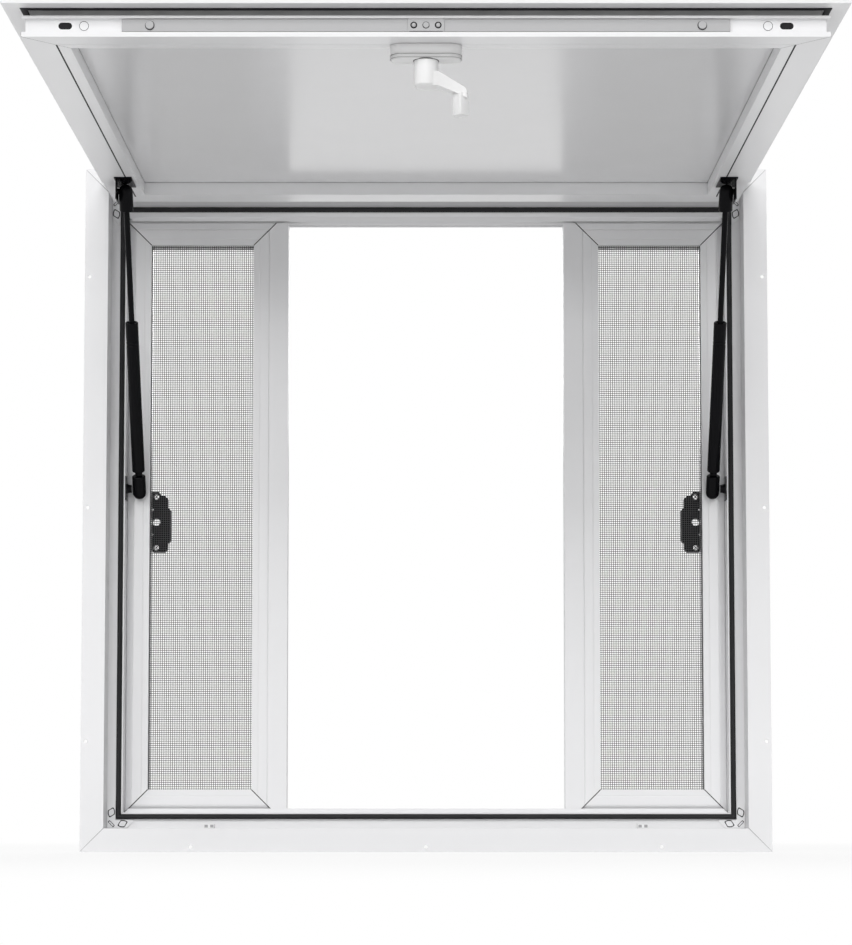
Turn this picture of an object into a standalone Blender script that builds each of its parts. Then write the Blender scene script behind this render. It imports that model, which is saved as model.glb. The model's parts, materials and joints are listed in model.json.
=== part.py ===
"""Concession window: an awning door over a flanged frame with sliding insect screens.

Units are metres, +Z up, +X right as a customer sees it, +Y into the vehicle. The wall's outer
skin is the plane Y = 0, where the flange's back face rests, and the origin is on that face in
the middle of the bottom flange. The door stands open, as on its gas struts.
"""

import math

import bmesh
import bpy
from mathutils import Matrix, Vector

MM = 0.001
SEAM = 0.3 * MM              # gap left between two pieces that touch

# Frame
FLANGE_SIZE = 970 * MM       # outside of the square flange
FLANGE_FACE = 33 * MM        # width of flange that shows round the recess
FLANGE_THICK = 2 * MM
BODY_WALL = 3 * MM           # wall between the recess and the hole in the vehicle's side
FRAME_WALL = 2 * MM
LEDGE_DEPTH = 42 * MM        # wall skin to the ledge that carries the gasket
LEDGE_GAP = 12.5 * MM        # bare ledge outside the gasket
LIP_HEIGHT = 2 * MM          # lip that holds the gasket from inside
HOLE_RADIUS = 2.5 * MM       # flange screw holes
HOLE_INSET = 7 * MM          # from the flange's outer edge
HOLE_SPACING = 330 * MM

# Gasket
GASKET_WIDTH = 7.5 * MM
GASKET_HEIGHT = 8 * MM

# Corner keys, plates on the ledge that hold the mitres together
KEY_ARM = 37 * MM
KEY_THICK = 2 * MM
KEY_CUT = 9 * MM             # slope at the end of each arm
KEY_SLOT = 13 * MM           # length of the stamped openings
KEY_SLOT_WIDTH = 8 * MM
KEY_SLOT_PLACE = 22 * MM     # from the outer corner along an arm

# Screen tracks in the head and the sill
FIN_THICK = 2 * MM
FIN_DROP = 5.8 * MM
TRACK_START = 62 * MM        # front face of the first fin
TRACK_PITCH = 20.5 * MM      # fin to fin

# Sliding screens
SCREEN_THICK = 16 * MM
SCREEN_PLAY = 1.2 * MM       # from a fin to the face of a screen
SCREEN_MEMBER = 32.5 * MM    # face width of a stile or a rail
SCREEN_WIDTH = 213 * MM
SCREEN_LIP = 18 * MM         # pull lip beyond the meeting stile
SCREEN_LIP_THICK = 6 * MM
SCREEN_SHORT = 8 * MM        # how far a screen's top rail stays below the head
TONGUE_HEIGHT = 6 * MM       # tongue on the top rail that runs between two fins
TONGUE_THICK = 8 * MM
MESH_THICK = 0.8 * MM
MESH_SLOT = 4.5 * MM         # depth of the slot that holds the mesh
MESH_COLUMNS = 4             # the weave is drawn as a plain grid of openings
MESH_ROWS = 12
MESH_BAR = 4 * MM

# Latches on the rear screens
LATCH_HEIGHT = 88 * MM
LATCH_WIDTH = 49 * MM
LATCH_THICK = 12 * MM
LATCH_BELOW_MIDDLE = 9.5 * MM
LATCH_PAD_PROUD = 4.2 * MM   # thumb pad beyond the latch's plate
LATCH_PAD_TOP = 21 * MM      # above the latch's centre
LATCH_PAD_BOTTOM = -29 * MM
LATCH_STEP = (9 * MM, 6 * MM)  # step at the top inner corner
LATCH_NOTCH = (23 * MM, 3 * MM)  # notch at the bottom outer corner
LATCH_HOLE_REACH = 28 * MM   # from the latch's outer edge to its line of holes
LATCH_SCREW_RADIUS = 4 * MM
LATCH_SCREW_UP = 37 * MM
LATCH_PIVOT_RADIUS = 5.6 * MM
LATCH_STAR_REACH = 21.5 * MM
LATCH_STAR_UP = 18 * MM
LATCH_STAR_RADIUS = 2.6 * MM

# Awning door, in its own frame: "out" is towards the street when it is closed
OPEN_ANGLE = 88.7            # degrees from closed to open
HINGE_OUT = 9.5 * MM         # hinge axis in front of the wall skin
HINGE_RISE = 10 * MM         # hinge axis above the top of the recess
BEAD_RADIUS = 2.6 * MM
BEAD_WEB = 1.6 * MM
BEAD_FOOT = 14 * MM
BEAD_FOOT_THICK = 1.2 * MM
HOOK_INNER = 3.0 * MM
HOOK_OUTER = 5.1 * MM
SKIN_OUT = 6.6 * MM          # door's outer face from the hinge axis
SKIN_THICK = 1.2 * MM
SKIN_HEM = 5 * MM            # thickness of the folded edge
DOOR_LAP = 20 * MM           # skin's edge beyond the door's body
DOOR_CLEARANCE = 11 * MM     # body to the side of the recess
DOOR_INNER = 29.8 * MM       # inner face of the rails from the hinge axis
RAIL_WIDTH = 48 * MM
RAIL_SHELF = 20 * MM         # part of the rail that the panel laps over
RAIL_WALL = 2 * MM
PANEL_STEP = 17 * MM         # panel's inner face above the rails' inner face
PANEL_SHEET = 1.2 * MM       # the panel is a folded tray, its foam core left out
CHANNEL_DEPTH = 9 * MM       # open channel round the door's edge, under the hem
CHANNEL_HEIGHT = 8 * MM
RIM_HEIGHT = 3 * MM
BAND_HEIGHT = 15 * MM        # shallow band that the lock bar slides in
BAND_DEPTH = 4 * MM
SLIT_INSET = 33.4 * MM       # joint line along the rails' inner face
SLIT_WIDTH = 1 * MM

# Lock bar and handle
LOCK_BAR_LENGTH = 663 * MM
LOCK_BAR_HEIGHT = 13.6 * MM
LOCK_BAR_THICK = 2.5 * MM
LOCK_STUD_INSET = 30.5 * MM  # from the end of the bar
LOCK_STUD_RADIUS = 4.5 * MM
LOCK_STUD_PROUD = 2.5 * MM
LOCK_CENTRE = (40 * MM, 14.4 * MM, 1.2 * MM)  # plate riveted on the middle of the bar
LOCK_RIVET_RADIUS = 3.2 * MM
LOCK_RIVET_PROUD = 1.2 * MM
KEEPER_AHEAD = 3 * MM        # keeper's middle beyond the unlocked stud
KEEPER_SIZE = (14.5 * MM, 16 * MM, 5.5 * MM)
HANDLE_SETBACK = 39 * MM     # handle's axis behind the front of the door's body
HANDLE_BASE = (80 * MM, 28 * MM, 16.5 * MM)
HANDLE_SHAFT_RADIUS = 13.5 * MM
HANDLE_SHAFT_LENGTH = 29 * MM
HANDLE_DRAFT = 1.5 * MM      # each side of the base over its height
HANDLE_EASE = 1.6 * MM
HANDLE_REACH = 38 * MM       # shaft's axis to the grip's axis
HANDLE_ARM_RISE = 16 * MM    # root of the arm, up from the end of the shaft
HANDLE_ARM_FALL = 15.5 * MM  # how far the arm's top falls from the root to the knuckle
HANDLE_ARM_WIDTH = 22 * MM
HANDLE_GRIP_WIDTH = 13.5 * MM  # across the flats of the square grip
HANDLE_DROP = 78 * MM        # end of the grip from the door's inner face

# Openings and plugs in the band beside the lock bar
SLOT_SIDE = 47.5 * MM        # opening's middle from the side of the door's body
SLOT_SIZE = (15 * MM, 7.6 * MM)
PLUG_SPACING = 20.5 * MM     # opening to plug
PLUG_RADIUS = 5 * MM
PLUG_PROUD = 0.2 * MM

# Gas struts
STRUT_SIDE = 19.5 * MM       # from the jamb's inner face to the strut's line
LOWER_PIVOT_Y = 48 * MM
LOWER_PIVOT_DOWN = 429.5 * MM  # below the hinge axis
UPPER_PIVOT_DOWN = 148 * MM  # from the hinge axis along the door
UPPER_PIVOT_IN = 42 * MM     # from the hinge axis towards the inside
CYLINDER_RADIUS = 9 * MM
CYLINDER_WALL = 1.5 * MM
CYLINDER_START = 186.5 * MM    # from the upper pivot, door open
CYLINDER_EASE = 2 * MM
CYLINDER_GROOVES = (27 * MM, 32 * MM)  # rolled grooves, from the cylinder's open end
GROOVE_DEPTH = 0.7 * MM
GROOVE_WIDTH = 1.8 * MM
NECK_RADIUS = 5.2 * MM       # end fitting between the cylinder and the lower socket
NECK_LENGTH = 5 * MM
ROD_RADIUS = 4 * MM
PISTON_LENGTH = 10 * MM
ROD_PLAY = 0.3 * MM
SOCKET_RADIUS = 9.6 * MM
UPPER_SOCKET_LENGTH = 27.5 * MM
LOWER_SOCKET_LENGTH = 20 * MM
LOWER_SOCKET_TIP = 15.5 * MM  # rounded end beyond the pivot
PIN_RADIUS = 4 * MM
BRACKET_WIDTH = 24 * MM
BRACKET_LENGTH = 60 * MM
BRACKET_AHEAD = 9 * MM       # plate's middle in front of the strut's pivot
BRACKET_THICK = 2 * MM
CHEEK_LENGTH = 40 * MM
CHEEK_DROP = 26 * MM         # below the door's inner face
BRACKET_HOLES = ((-13 * MM, 3 * MM), (22 * MM, 4.6 * MM))  # place from the pivot, radius
STUD_PLATE = (2 * MM, 20 * MM, 34 * MM)
STUD_FLARE = 9.5 * MM        # radius of the stud's trumpet at its plate
STUD_NECK = 5.6 * MM

ROUND_STEPS = 24

# Places that follow from the sizes above
HALF_FLANGE = FLANGE_SIZE / 2
FRAME_BOTTOM = -FLANGE_FACE / 2
FRAME_MIDDLE_Z = FRAME_BOTTOM + HALF_FLANGE
FRAME_DEPTH = TRACK_START + 2 * TRACK_PITCH + FIN_THICK
HALF_RECESS = HALF_FLANGE - FLANGE_FACE
BODY_INSET = FLANGE_FACE - BODY_WALL
GASKET_START = FLANGE_FACE + LEDGE_GAP
LIP_START = GASKET_START + GASKET_WIDTH
INNER_FACE = LIP_START + FRAME_WALL
HALF_INNER = HALF_FLANGE - INNER_FACE
SILL_Z = FRAME_BOTTOM + INNER_FACE
HEAD_Z = FRAME_BOTTOM + FLANGE_SIZE - INNER_FACE

HINGE_Y = -HINGE_OUT
HINGE_Z = FRAME_BOTTOM + FLANGE_SIZE - FLANGE_FACE + HINGE_RISE
DOOR_HALF = HALF_RECESS - DOOR_CLEARANCE
DOOR_START = HINGE_RISE + DOOR_CLEARANCE
DOOR_END = DOOR_START + 2 * DOOR_HALF
DOOR_MIDDLE = DOOR_START + DOOR_HALF
HEM_IN = SKIN_OUT - SKIN_HEM
PANEL_INNER = DOOR_INNER - PANEL_STEP
RAIL_TOP = SKIN_OUT - SKIN_THICK - SEAM
HANDLE_DOWN = DOOR_END - HANDLE_SETBACK
CHANNEL_FLOOR = HEM_IN - CHANNEL_HEIGHT
BAND_TOP = CHANNEL_FLOOR - RIM_HEIGHT
BAND_MIDDLE = BAND_TOP - BAND_HEIGHT / 2
LOCK_STUD_X = LOCK_BAR_LENGTH / 2 - LOCK_STUD_INSET
SLOT_X = DOOR_HALF - SLOT_SIDE
PLUG_X = SLOT_X - PLUG_SPACING
STRUT_X = HALF_INNER - STRUT_SIDE
LOWER_PIVOT_Z = HINGE_Z - LOWER_PIVOT_DOWN

SCREEN_BOTTOM = SILL_Z + SEAM
SCREEN_TOP = HEAD_Z - SCREEN_SHORT
SCREEN_HEIGHT = SCREEN_TOP - SCREEN_BOTTOM
SCREEN_FRONT = TRACK_START + FIN_THICK + SCREEN_PLAY


def fresh_scene():
    for thing in list(bpy.data.objects):
        bpy.data.objects.remove(thing, do_unlink=True)
    parts = bpy.data.collections.new("concession_window")
    cutters = bpy.data.collections.new("cutters")
    bpy.context.scene.collection.children.link(parts)
    bpy.context.scene.collection.children.link(cutters)
    return parts, cutters


PARTS, CUTTERS = fresh_scene()


def finish(name, colour, roughness, metallic=0.0):
    material = bpy.data.materials.new(name)
    material.use_nodes = True
    shader = material.node_tree.nodes["Principled BSDF"]
    shader.inputs["Base Color"].default_value = (*colour, 1.0)
    shader.inputs["Roughness"].default_value = roughness
    shader.inputs["Metallic"].default_value = metallic
    return material


WHITE_COAT = finish("white_coat", (0.80, 0.80, 0.81), 0.42)
PANEL_COAT = finish("panel_coat", (0.62, 0.62, 0.63), 0.38)
WHITE_PLASTIC = finish("white_plastic", (0.82, 0.82, 0.82), 0.35)
BARE_ALUMINIUM = finish("bare_aluminium", (0.58, 0.58, 0.59), 0.35, 0.9)
BLACK_RUBBER = finish("black_rubber", (0.02, 0.02, 0.02), 0.7)
BLACK_PAINT = finish("black_paint", (0.015, 0.015, 0.016), 0.3)
BLACK_PLASTIC = finish("black_plastic", (0.02, 0.02, 0.02), 0.5)
SCREEN_WIRE = finish("screen_wire", (0.05, 0.05, 0.05), 0.5)


def link(thing, collection=PARTS):
    for owner in list(thing.users_collection):
        owner.objects.unlink(thing)
    collection.objects.link(thing)
    return thing


def guide(thing):
    """Keep a cutter out of the model."""
    link(thing, CUTTERS)
    thing.hide_render = True
    thing.display_type = "WIRE"
    return thing


def empty(name, location, parent=None, turn=0.0):
    thing = link(bpy.data.objects.new(name, None))
    thing.parent = parent
    thing.location = location
    thing.rotation_euler.x = turn
    return thing


def solid(name, mesh, material, parent=None, place=Matrix()):
    """An object for a node: its mesh, its finish and its place in its parent's frame."""
    thing = link(bpy.data.objects.new(name, mesh))
    mesh.materials.clear()
    mesh.materials.append(material)
    thing.parent = parent
    thing.matrix_local = place
    return thing


def frame_axes(inward, depth, origin):
    """Place whose local X runs inward over a member, Y through its depth, Z along it."""
    along = inward.cross(depth)
    turn = Matrix((inward, depth, along)).transposed().to_4x4()
    return Matrix.Translation(origin) @ turn


def arc(centre, radius, start, stop, steps):
    """Points on a circle, angles in degrees."""
    turn = math.radians(stop - start) / steps
    first = math.radians(start)
    return [
        (
            centre[0] + radius * math.cos(first + turn * step),
            centre[1] + radius * math.sin(first + turn * step),
        )
        for step in range(steps + 1)
    ]


def extrusion(name, outlines, length):
    """Mesh of a section in local XY, first outline outside and the rest hollows."""
    section = bpy.data.curves.new(name, "CURVE")
    section.dimensions = "2D"
    section.fill_mode = "BOTH"
    section.extrude = length / 2
    for outline in outlines:
        spline = section.splines.new("POLY")
        spline.points.add(len(outline) - 1)
        for point, (x, y) in zip(spline.points, outline):
            point.co = (x, y, 0.0, 1.0)
        spline.use_cyclic_u = True
    curve = guide(bpy.data.objects.new(name + "_section", section))
    graph = bpy.context.evaluated_depsgraph_get()
    mesh = bpy.data.meshes.new_from_object(curve.evaluated_get(graph))
    bpy.data.objects.remove(curve, do_unlink=True)
    shape = bmesh.new()
    shape.from_mesh(mesh)
    bmesh.ops.remove_doubles(shape, verts=shape.verts, dist=0.00001)
    bmesh.ops.recalc_face_normals(shape, faces=shape.faces)
    shape.to_mesh(mesh)
    shape.free()
    mesh.name = name
    return mesh


def mitred(name, outlines, length):
    """Extrusion whose two ends slope in at 45 degrees; what lies outside X = 0 stays square."""
    mesh = extrusion(name, outlines, length)
    for vertex in mesh.vertices:
        reach = length / 2 - max(vertex.co.x, 0.0) - SEAM / 2
        vertex.co.z = math.copysign(reach, vertex.co.z)
    return mesh


def box_mesh(name, size, centre=(0, 0, 0)):
    shape = bmesh.new()
    bmesh.ops.create_cube(shape, size=1.0)
    bmesh.ops.scale(shape, vec=size, verts=shape.verts)
    bmesh.ops.translate(shape, vec=centre, verts=shape.verts)
    mesh = bpy.data.meshes.new(name)
    shape.to_mesh(mesh)
    shape.free()
    return mesh


def profile_mesh(name, profile):
    """Open line of (radius, height) points, top to bottom, for a Screw modifier to turn."""
    mesh = bpy.data.meshes.new(name)
    shape = bmesh.new()
    points = [shape.verts.new((radius, 0, height)) for radius, height in profile]
    for upper, lower in zip(points, points[1:]):
        shape.edges.new((upper, lower))
    shape.to_mesh(mesh)
    shape.free()
    return mesh


def turn(thing):
    """Turn an object's profile about its local Z."""
    screw = thing.modifiers.new("turn", "SCREW")
    screw.steps = ROUND_STEPS
    screw.render_steps = ROUND_STEPS
    screw.use_merge_vertices = True
    screw.merge_threshold = 0.00001
    return thing


def turned(name, profile, material, parent=None, place=Matrix()):
    """A node that is a solid of revolution about local Z."""
    return turn(solid(name, profile_mesh(name, profile), material, parent, place))


def shape_cutter(name, mesh, place, parent=None):
    """A guide object that another piece is cut by or joined with."""
    thing = guide(bpy.data.objects.new(name, mesh))
    thing.parent = parent
    thing.matrix_local = place
    return thing


def rod_cutter(name, radius, length, place, parent=None, sides=16):
    shape = bmesh.new()
    bmesh.ops.create_cone(
        shape, cap_ends=True, segments=sides, radius1=radius, radius2=radius, depth=length
    )
    mesh = bpy.data.meshes.new(name)
    shape.to_mesh(mesh)
    shape.free()
    return shape_cutter(name, mesh, place, parent)


def boolean(thing, tool, operation="DIFFERENCE"):
    cut = thing.modifiers.new(tool.name, "BOOLEAN")
    cut.operation = operation
    cut.solver = "EXACT"
    cut.object = tool


RIGHT = Vector((1, 0, 0))
UP = Vector((0, 0, 1))
BACK = Vector((0, 1, 0))
ALONG_X = Matrix.Rotation(math.radians(90), 4, "Y")
ALONG_Y = Matrix.Rotation(math.radians(-90), 4, "X")
GRIP_TURN = Matrix.Rotation(math.radians(45), 4, "Z")


def four_sides(half_width, half_height, middle, depth):
    """Side name, inward direction and place for the members of a rectangular frame."""
    cross = UP if abs(depth.z) < 0.5 else BACK
    sides = (
        ("head", -cross, middle + cross * half_height),
        ("sill", cross, middle - cross * half_height),
        ("left", RIGHT, middle - RIGHT * half_width),
        ("right", -RIGHT, middle + RIGHT * half_width),
    )
    return [(side, inward, frame_axes(inward, depth, spot)) for side, inward, spot in sides]


# Frame


def frame_section(tracked):
    """Section of a frame member: X inward from the flange's outer edge, Y into the vehicle."""
    ledge = LEDGE_DEPTH
    outer = [
        (0, -FLANGE_THICK),
        (FLANGE_FACE, -FLANGE_THICK),
        (FLANGE_FACE, ledge),
        (LIP_START, ledge),
        (LIP_START, ledge - LIP_HEIGHT),
        (INNER_FACE, ledge - LIP_HEIGHT),
    ]
    if tracked:
        for count in range(3):
            front = TRACK_START + count * TRACK_PITCH
            outer += [
                (INNER_FACE, front),
                (INNER_FACE + FIN_DROP, front),
                (INNER_FACE + FIN_DROP, front + FIN_THICK),
            ]
            if front + FIN_THICK < FRAME_DEPTH:
                outer.append((INNER_FACE, front + FIN_THICK))
    outer += [
        (INNER_FACE, FRAME_DEPTH),
        (BODY_INSET, FRAME_DEPTH),
        (BODY_INSET, 0),
        (0, 0),
    ]
    hollow = [
        (BODY_INSET + FRAME_WALL, ledge + FRAME_WALL),
        (INNER_FACE - FRAME_WALL, ledge + FRAME_WALL),
        (INNER_FACE - FRAME_WALL, FRAME_DEPTH - FRAME_WALL),
        (BODY_INSET + FRAME_WALL, FRAME_DEPTH - FRAME_WALL),
    ]
    return [outer, hollow]


def gasket_section():
    half = GASKET_WIDTH / 2 - SEAM
    centre = (GASKET_START + GASKET_WIDTH / 2, LEDGE_DEPTH - GASKET_HEIGHT + half)
    crown = arc(centre, half, 180, 360, 8)
    base = LEDGE_DEPTH - SEAM
    return [crown + [(centre[0] + half, base), (centre[0] - half, base)]]


def build_frame():
    middle = Vector((0, 0, FRAME_MIDDLE_Z))
    names = {"head": "frame_head", "sill": "frame_sill"}
    for side, inward, place in four_sides(HALF_FLANGE, HALF_FLANGE, middle, BACK):
        tracked = side in names
        name = names.get(side, "frame_jamb_" + side)
        member = solid(name, mitred(name, frame_section(tracked), FLANGE_SIZE), WHITE_COAT, None, place)
        for count in (-1, 0, 1):
            spot = Vector((HOLE_INSET, -FLANGE_THICK / 2, count * HOLE_SPACING))
            hole = place @ Matrix.Translation(spot) @ ALONG_Y
            drill = rod_cutter(f"{name}_drill_{count + 1}", HOLE_RADIUS, 4 * FLANGE_THICK, hole)
            boolean(member, drill)
        strip = "gasket_" + side
        solid(strip, mitred(strip, gasket_section(), FLANGE_SIZE), BLACK_RUBBER, None, place)


def key_section(width):
    """L-shaped plate, its outer corner at the origin, with three stamped openings."""
    middle = width / 2
    half = KEY_SLOT / 2
    cross = KEY_SLOT_WIDTH / 2
    lean = cross / 2
    along = [
        (KEY_SLOT_PLACE - half, middle - lean),
        (KEY_SLOT_PLACE - lean, middle - cross),
        (KEY_SLOT_PLACE + lean, middle - cross),
        (KEY_SLOT_PLACE + half, middle + lean),
        (KEY_SLOT_PLACE + lean, middle + cross),
        (KEY_SLOT_PLACE - lean, middle + cross),
    ]
    corner = [
        (middle - cross, middle + lean),
        (middle - lean, middle + cross),
        (middle + cross, middle - lean),
        (middle + lean, middle - cross),
    ]
    plate = [
        (0, 0),
        (KEY_ARM - KEY_CUT, 0),
        (KEY_ARM, KEY_CUT),
        (KEY_ARM, width),
        (width, width),
        (width, KEY_ARM),
        (KEY_CUT, KEY_ARM),
        (0, KEY_ARM - KEY_CUT),
    ]
    return [plate, along, [(y, x) for x, y in along], corner]


def build_corner_keys():
    """Plates that stake the mitred corners together, seen on the ledge outside the gasket."""
    width = LEDGE_GAP - 2 * SEAM
    reach = HALF_RECESS - SEAM
    for side, sign_x in (("left", -1), ("right", 1)):
        for end, sign_z in (("top", 1), ("bottom", -1)):
            name = f"corner_key_{end}_{side}"
            mesh = extrusion(name, key_section(width), KEY_THICK)
            flat = Matrix.Diagonal((-sign_x, 1, 1, 1)) @ Matrix.Rotation(math.radians(90), 4, "X")
            flat = Matrix.Diagonal((1, 1, -sign_z, 1)) @ flat
            mesh.transform(flat)
            if sign_x * sign_z < 0:
                mesh.flip_normals()
            depth = LEDGE_DEPTH - SEAM - KEY_THICK / 2
            spot = Vector((sign_x * reach, depth, FRAME_MIDDLE_Z + sign_z * reach))
            solid(name, mesh, WHITE_COAT, None, Matrix.Translation(spot))


def build_keepers():
    floor = FRAME_BOTTOM + FLANGE_FACE
    width, depth, height = KEEPER_SIZE
    middle_y = HINGE_Y - BAND_MIDDLE
    for side, sign in (("left", -1), ("right", 1)):
        name = f"lock_keeper_{side}"
        mesh = box_mesh(name, (width, depth, height))
        spot = (sign * (LOCK_STUD_X + KEEPER_AHEAD), middle_y, floor + SEAM + height / 2)
        solid(name, mesh, WHITE_COAT, None, Matrix.Translation(spot))


# Sliding screens


def member_section(front, lip=0.0, tongue=0.0):
    """Section of a screen's stile or rail: X inward from the screen's edge, Y its depth."""
    back = front + SCREEN_THICK
    middle = (front + back) / 2
    slot = MESH_THICK / 2 + SEAM
    edge = 9.5 * MM
    ease = 6 * MM
    groove = 1 * MM
    fine = 23 * MM
    outline = [(0, back), (0, front + ease)]
    if lip:
        outline = [
            (0, back),
            (0, front + SCREEN_LIP_THICK),
            (-lip, front + SCREEN_LIP_THICK),
            (-lip, front),
            (0, front),
        ]
    if tongue:
        outline = [
            (0, back),
            (0, middle + TONGUE_THICK / 2),
            (-tongue, middle + TONGUE_THICK / 2),
            (-tongue, middle - TONGUE_THICK / 2),
            (0, middle - TONGUE_THICK / 2),
            (0, front + groove),
        ]
    outline += [
        (edge, front),
        (edge, front + groove),
        (edge + groove, front + groove),
        (edge + groove, front),
        (fine, front),
        (fine + groove / 2, front + groove / 2),
        (fine + groove, front),
        (SCREEN_MEMBER, front),
        (SCREEN_MEMBER, middle - slot),
        (SCREEN_MEMBER - MESH_SLOT, middle - slot),
        (SCREEN_MEMBER - MESH_SLOT, middle + slot),
        (SCREEN_MEMBER, middle + slot),
        (SCREEN_MEMBER, back),
    ]
    return [outline]


def rectangle(left, bottom, width, height):
    right, top = left + width, bottom + height
    return [(left, bottom), (right, bottom), (right, top), (left, top)]


def mesh_outlines(width, height):
    """Outline of the insect mesh and its grid of openings, centred; its edges sit in the slots."""
    edge = MESH_SLOT - SEAM
    step_x = (width - 2 * edge + MESH_BAR) / MESH_COLUMNS
    step_y = (height - 2 * edge + MESH_BAR) / MESH_ROWS
    openings = [
        rectangle(edge - width / 2 + column * step_x, edge - height / 2 + row * step_y,
                  step_x - MESH_BAR, step_y - MESH_BAR)
        for column in range(MESH_COLUMNS)
        for row in range(MESH_ROWS)
    ]
    return [rectangle(-width / 2, -height / 2, width, height), *openings]


def build_screen(row, side, sign):
    """One screen: two stiles, two rails and the mesh, parked against its jamb."""
    front = SCREEN_FRONT + row * TRACK_PITCH
    prefix = f"{('front', 'rear')[row]}_screen_{side}"
    outer = HALF_INNER - SEAM
    middle_x = sign * (outer - SCREEN_WIDTH / 2)
    middle = Vector((middle_x, 0, SCREEN_BOTTOM + SCREEN_HEIGHT / 2))
    meeting = "right" if sign < 0 else "left"
    for part, _, place in four_sides(SCREEN_WIDTH / 2, SCREEN_HEIGHT / 2, middle, BACK):
        if part == "head":
            label, section, length = "top_rail", member_section(front, 0, TONGUE_HEIGHT), SCREEN_WIDTH
        elif part == "sill":
            label, section, length = "bottom_rail", member_section(front), SCREEN_WIDTH
        elif part == meeting:
            label, section, length = "meeting_stile", member_section(front, SCREEN_LIP), SCREEN_HEIGHT
        else:
            label, section, length = "jamb_stile", member_section(front), SCREEN_HEIGHT
        name = f"{prefix}_{label}"
        solid(name, mitred(name, section, length), WHITE_COAT, None, place)
    cover = SCREEN_MEMBER - MESH_SLOT + SEAM
    outlines = mesh_outlines(SCREEN_WIDTH - 2 * cover, SCREEN_HEIGHT - 2 * cover)
    name = f"{prefix}_mesh"
    place = frame_axes(RIGHT, UP, middle + BACK * (front + SCREEN_THICK / 2))
    solid(name, extrusion(name, outlines, MESH_THICK), SCREEN_WIRE, None, place)


def latch_outline():
    """Latch seen from the street: X from its outer edge to the thumb pad, Y up."""
    half = LATCH_HEIGHT / 2
    plate = LATCH_WIDTH - LATCH_PAD_PROUD
    step_in, step_down = LATCH_STEP
    notch_reach, notch_up = LATCH_NOTCH
    corner = step_in / 2
    slope = LATCH_PAD_PROUD
    return [
        (0, notch_up - half),
        (notch_reach, notch_up - half),
        (notch_reach, -half),
        (plate - corner, -half),
        (plate, corner - half),
        (plate, LATCH_PAD_BOTTOM - slope / 2),
        (LATCH_WIDTH, LATCH_PAD_BOTTOM + slope / 2),
        (LATCH_WIDTH, LATCH_PAD_TOP - slope),
        (plate, LATCH_PAD_TOP),
        (plate, half - step_down - corner),
        (plate - corner, half - step_down),
        (plate - step_in, half - step_down),
        (plate - step_in - corner, half),
        (0, half),
    ]


def build_latch(side, sign):
    """Pull latch on the inside of a rear screen's outer stile."""
    name = f"latch_{side}"
    mesh = extrusion(name, [latch_outline()], LATCH_THICK)
    back = SCREEN_FRONT + TRACK_PITCH + SCREEN_THICK + SEAM
    outer = HALF_INNER - SCREEN_MEMBER / 3
    place = frame_axes(-sign * RIGHT, UP, Vector((sign * outer, back + LATCH_THICK / 2,
                                                  FRAME_MIDDLE_Z - LATCH_BELOW_MIDDLE)))
    latch = solid(name, mesh, BLACK_PLASTIC, None, place)
    holes = (
        ("upper_screw", LATCH_HOLE_REACH, LATCH_SCREW_UP, LATCH_SCREW_RADIUS, 16),
        ("lower_screw", LATCH_HOLE_REACH, -LATCH_SCREW_UP, LATCH_SCREW_RADIUS, 16),
        ("pivot", LATCH_HOLE_REACH, 0, LATCH_PIVOT_RADIUS, 16),
        ("upper_star", LATCH_STAR_REACH, LATCH_STAR_UP, LATCH_STAR_RADIUS, 4),
        ("lower_star", LATCH_STAR_REACH, -LATCH_STAR_UP, LATCH_STAR_RADIUS, 4),
    )
    for label, reach, up, radius, sides in holes:
        spot = place @ Matrix.Translation((reach, up, 0))
        boolean(latch, rod_cutter(f"{name}_{label}", radius, 2 * LATCH_THICK, spot, None, sides))


# Awning door. Local X is across, local -Z down the door from the hinge, local -Y outward.


def rail_section(hooked):
    """Section of a door rail: X inward from the body's edge, Y outward from the hinge axis."""
    inner = -DOOR_INNER
    shelf = -PANEL_INNER - SEAM
    band = BAND_TOP - BAND_HEIGHT
    slit_depth = 2 * MM
    outline = [
        (RAIL_SHELF, RAIL_TOP),
        (RAIL_SHELF, shelf),
        (RAIL_WIDTH, shelf),
        (RAIL_WIDTH, inner),
        (SLIT_INSET + SLIT_WIDTH, inner),
        (SLIT_INSET + SLIT_WIDTH, inner + slit_depth),
        (SLIT_INSET, inner + slit_depth),
        (SLIT_INSET, inner),
        (0, inner),
        (0, band),
        (BAND_DEPTH, band),
        (BAND_DEPTH, BAND_TOP),
        (0, BAND_TOP),
        (0, CHANNEL_FLOOR),
        (CHANNEL_DEPTH, CHANNEL_FLOOR),
    ]
    if hooked:
        axis = (-DOOR_START, 0)
        strip = HOOK_OUTER / 2
        foot = math.degrees(math.asin(strip / HOOK_OUTER))
        outline.append((CHANNEL_DEPTH, strip))
        outline += arc(axis, HOOK_OUTER, foot, -64, 8)
        outline += arc(axis, HOOK_INNER, -64, 155, 14)
        outline += arc(axis, HOOK_OUTER, 155, 90, 6)
        outline += [(CHANNEL_DEPTH, HOOK_OUTER), (CHANNEL_DEPTH, RAIL_TOP)]
    else:
        outline += [(CHANNEL_DEPTH, HEM_IN), (0, HEM_IN), (0, RAIL_TOP)]
    hollow = [
        (BAND_DEPTH + RAIL_WALL, inner + slit_depth + RAIL_WALL),
        (RAIL_WIDTH - RAIL_WALL, inner + slit_depth + RAIL_WALL),
        (RAIL_WIDTH - RAIL_WALL, shelf - RAIL_WALL),
        (BAND_DEPTH + RAIL_WALL, shelf - RAIL_WALL),
    ]
    return [outline, hollow]


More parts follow.
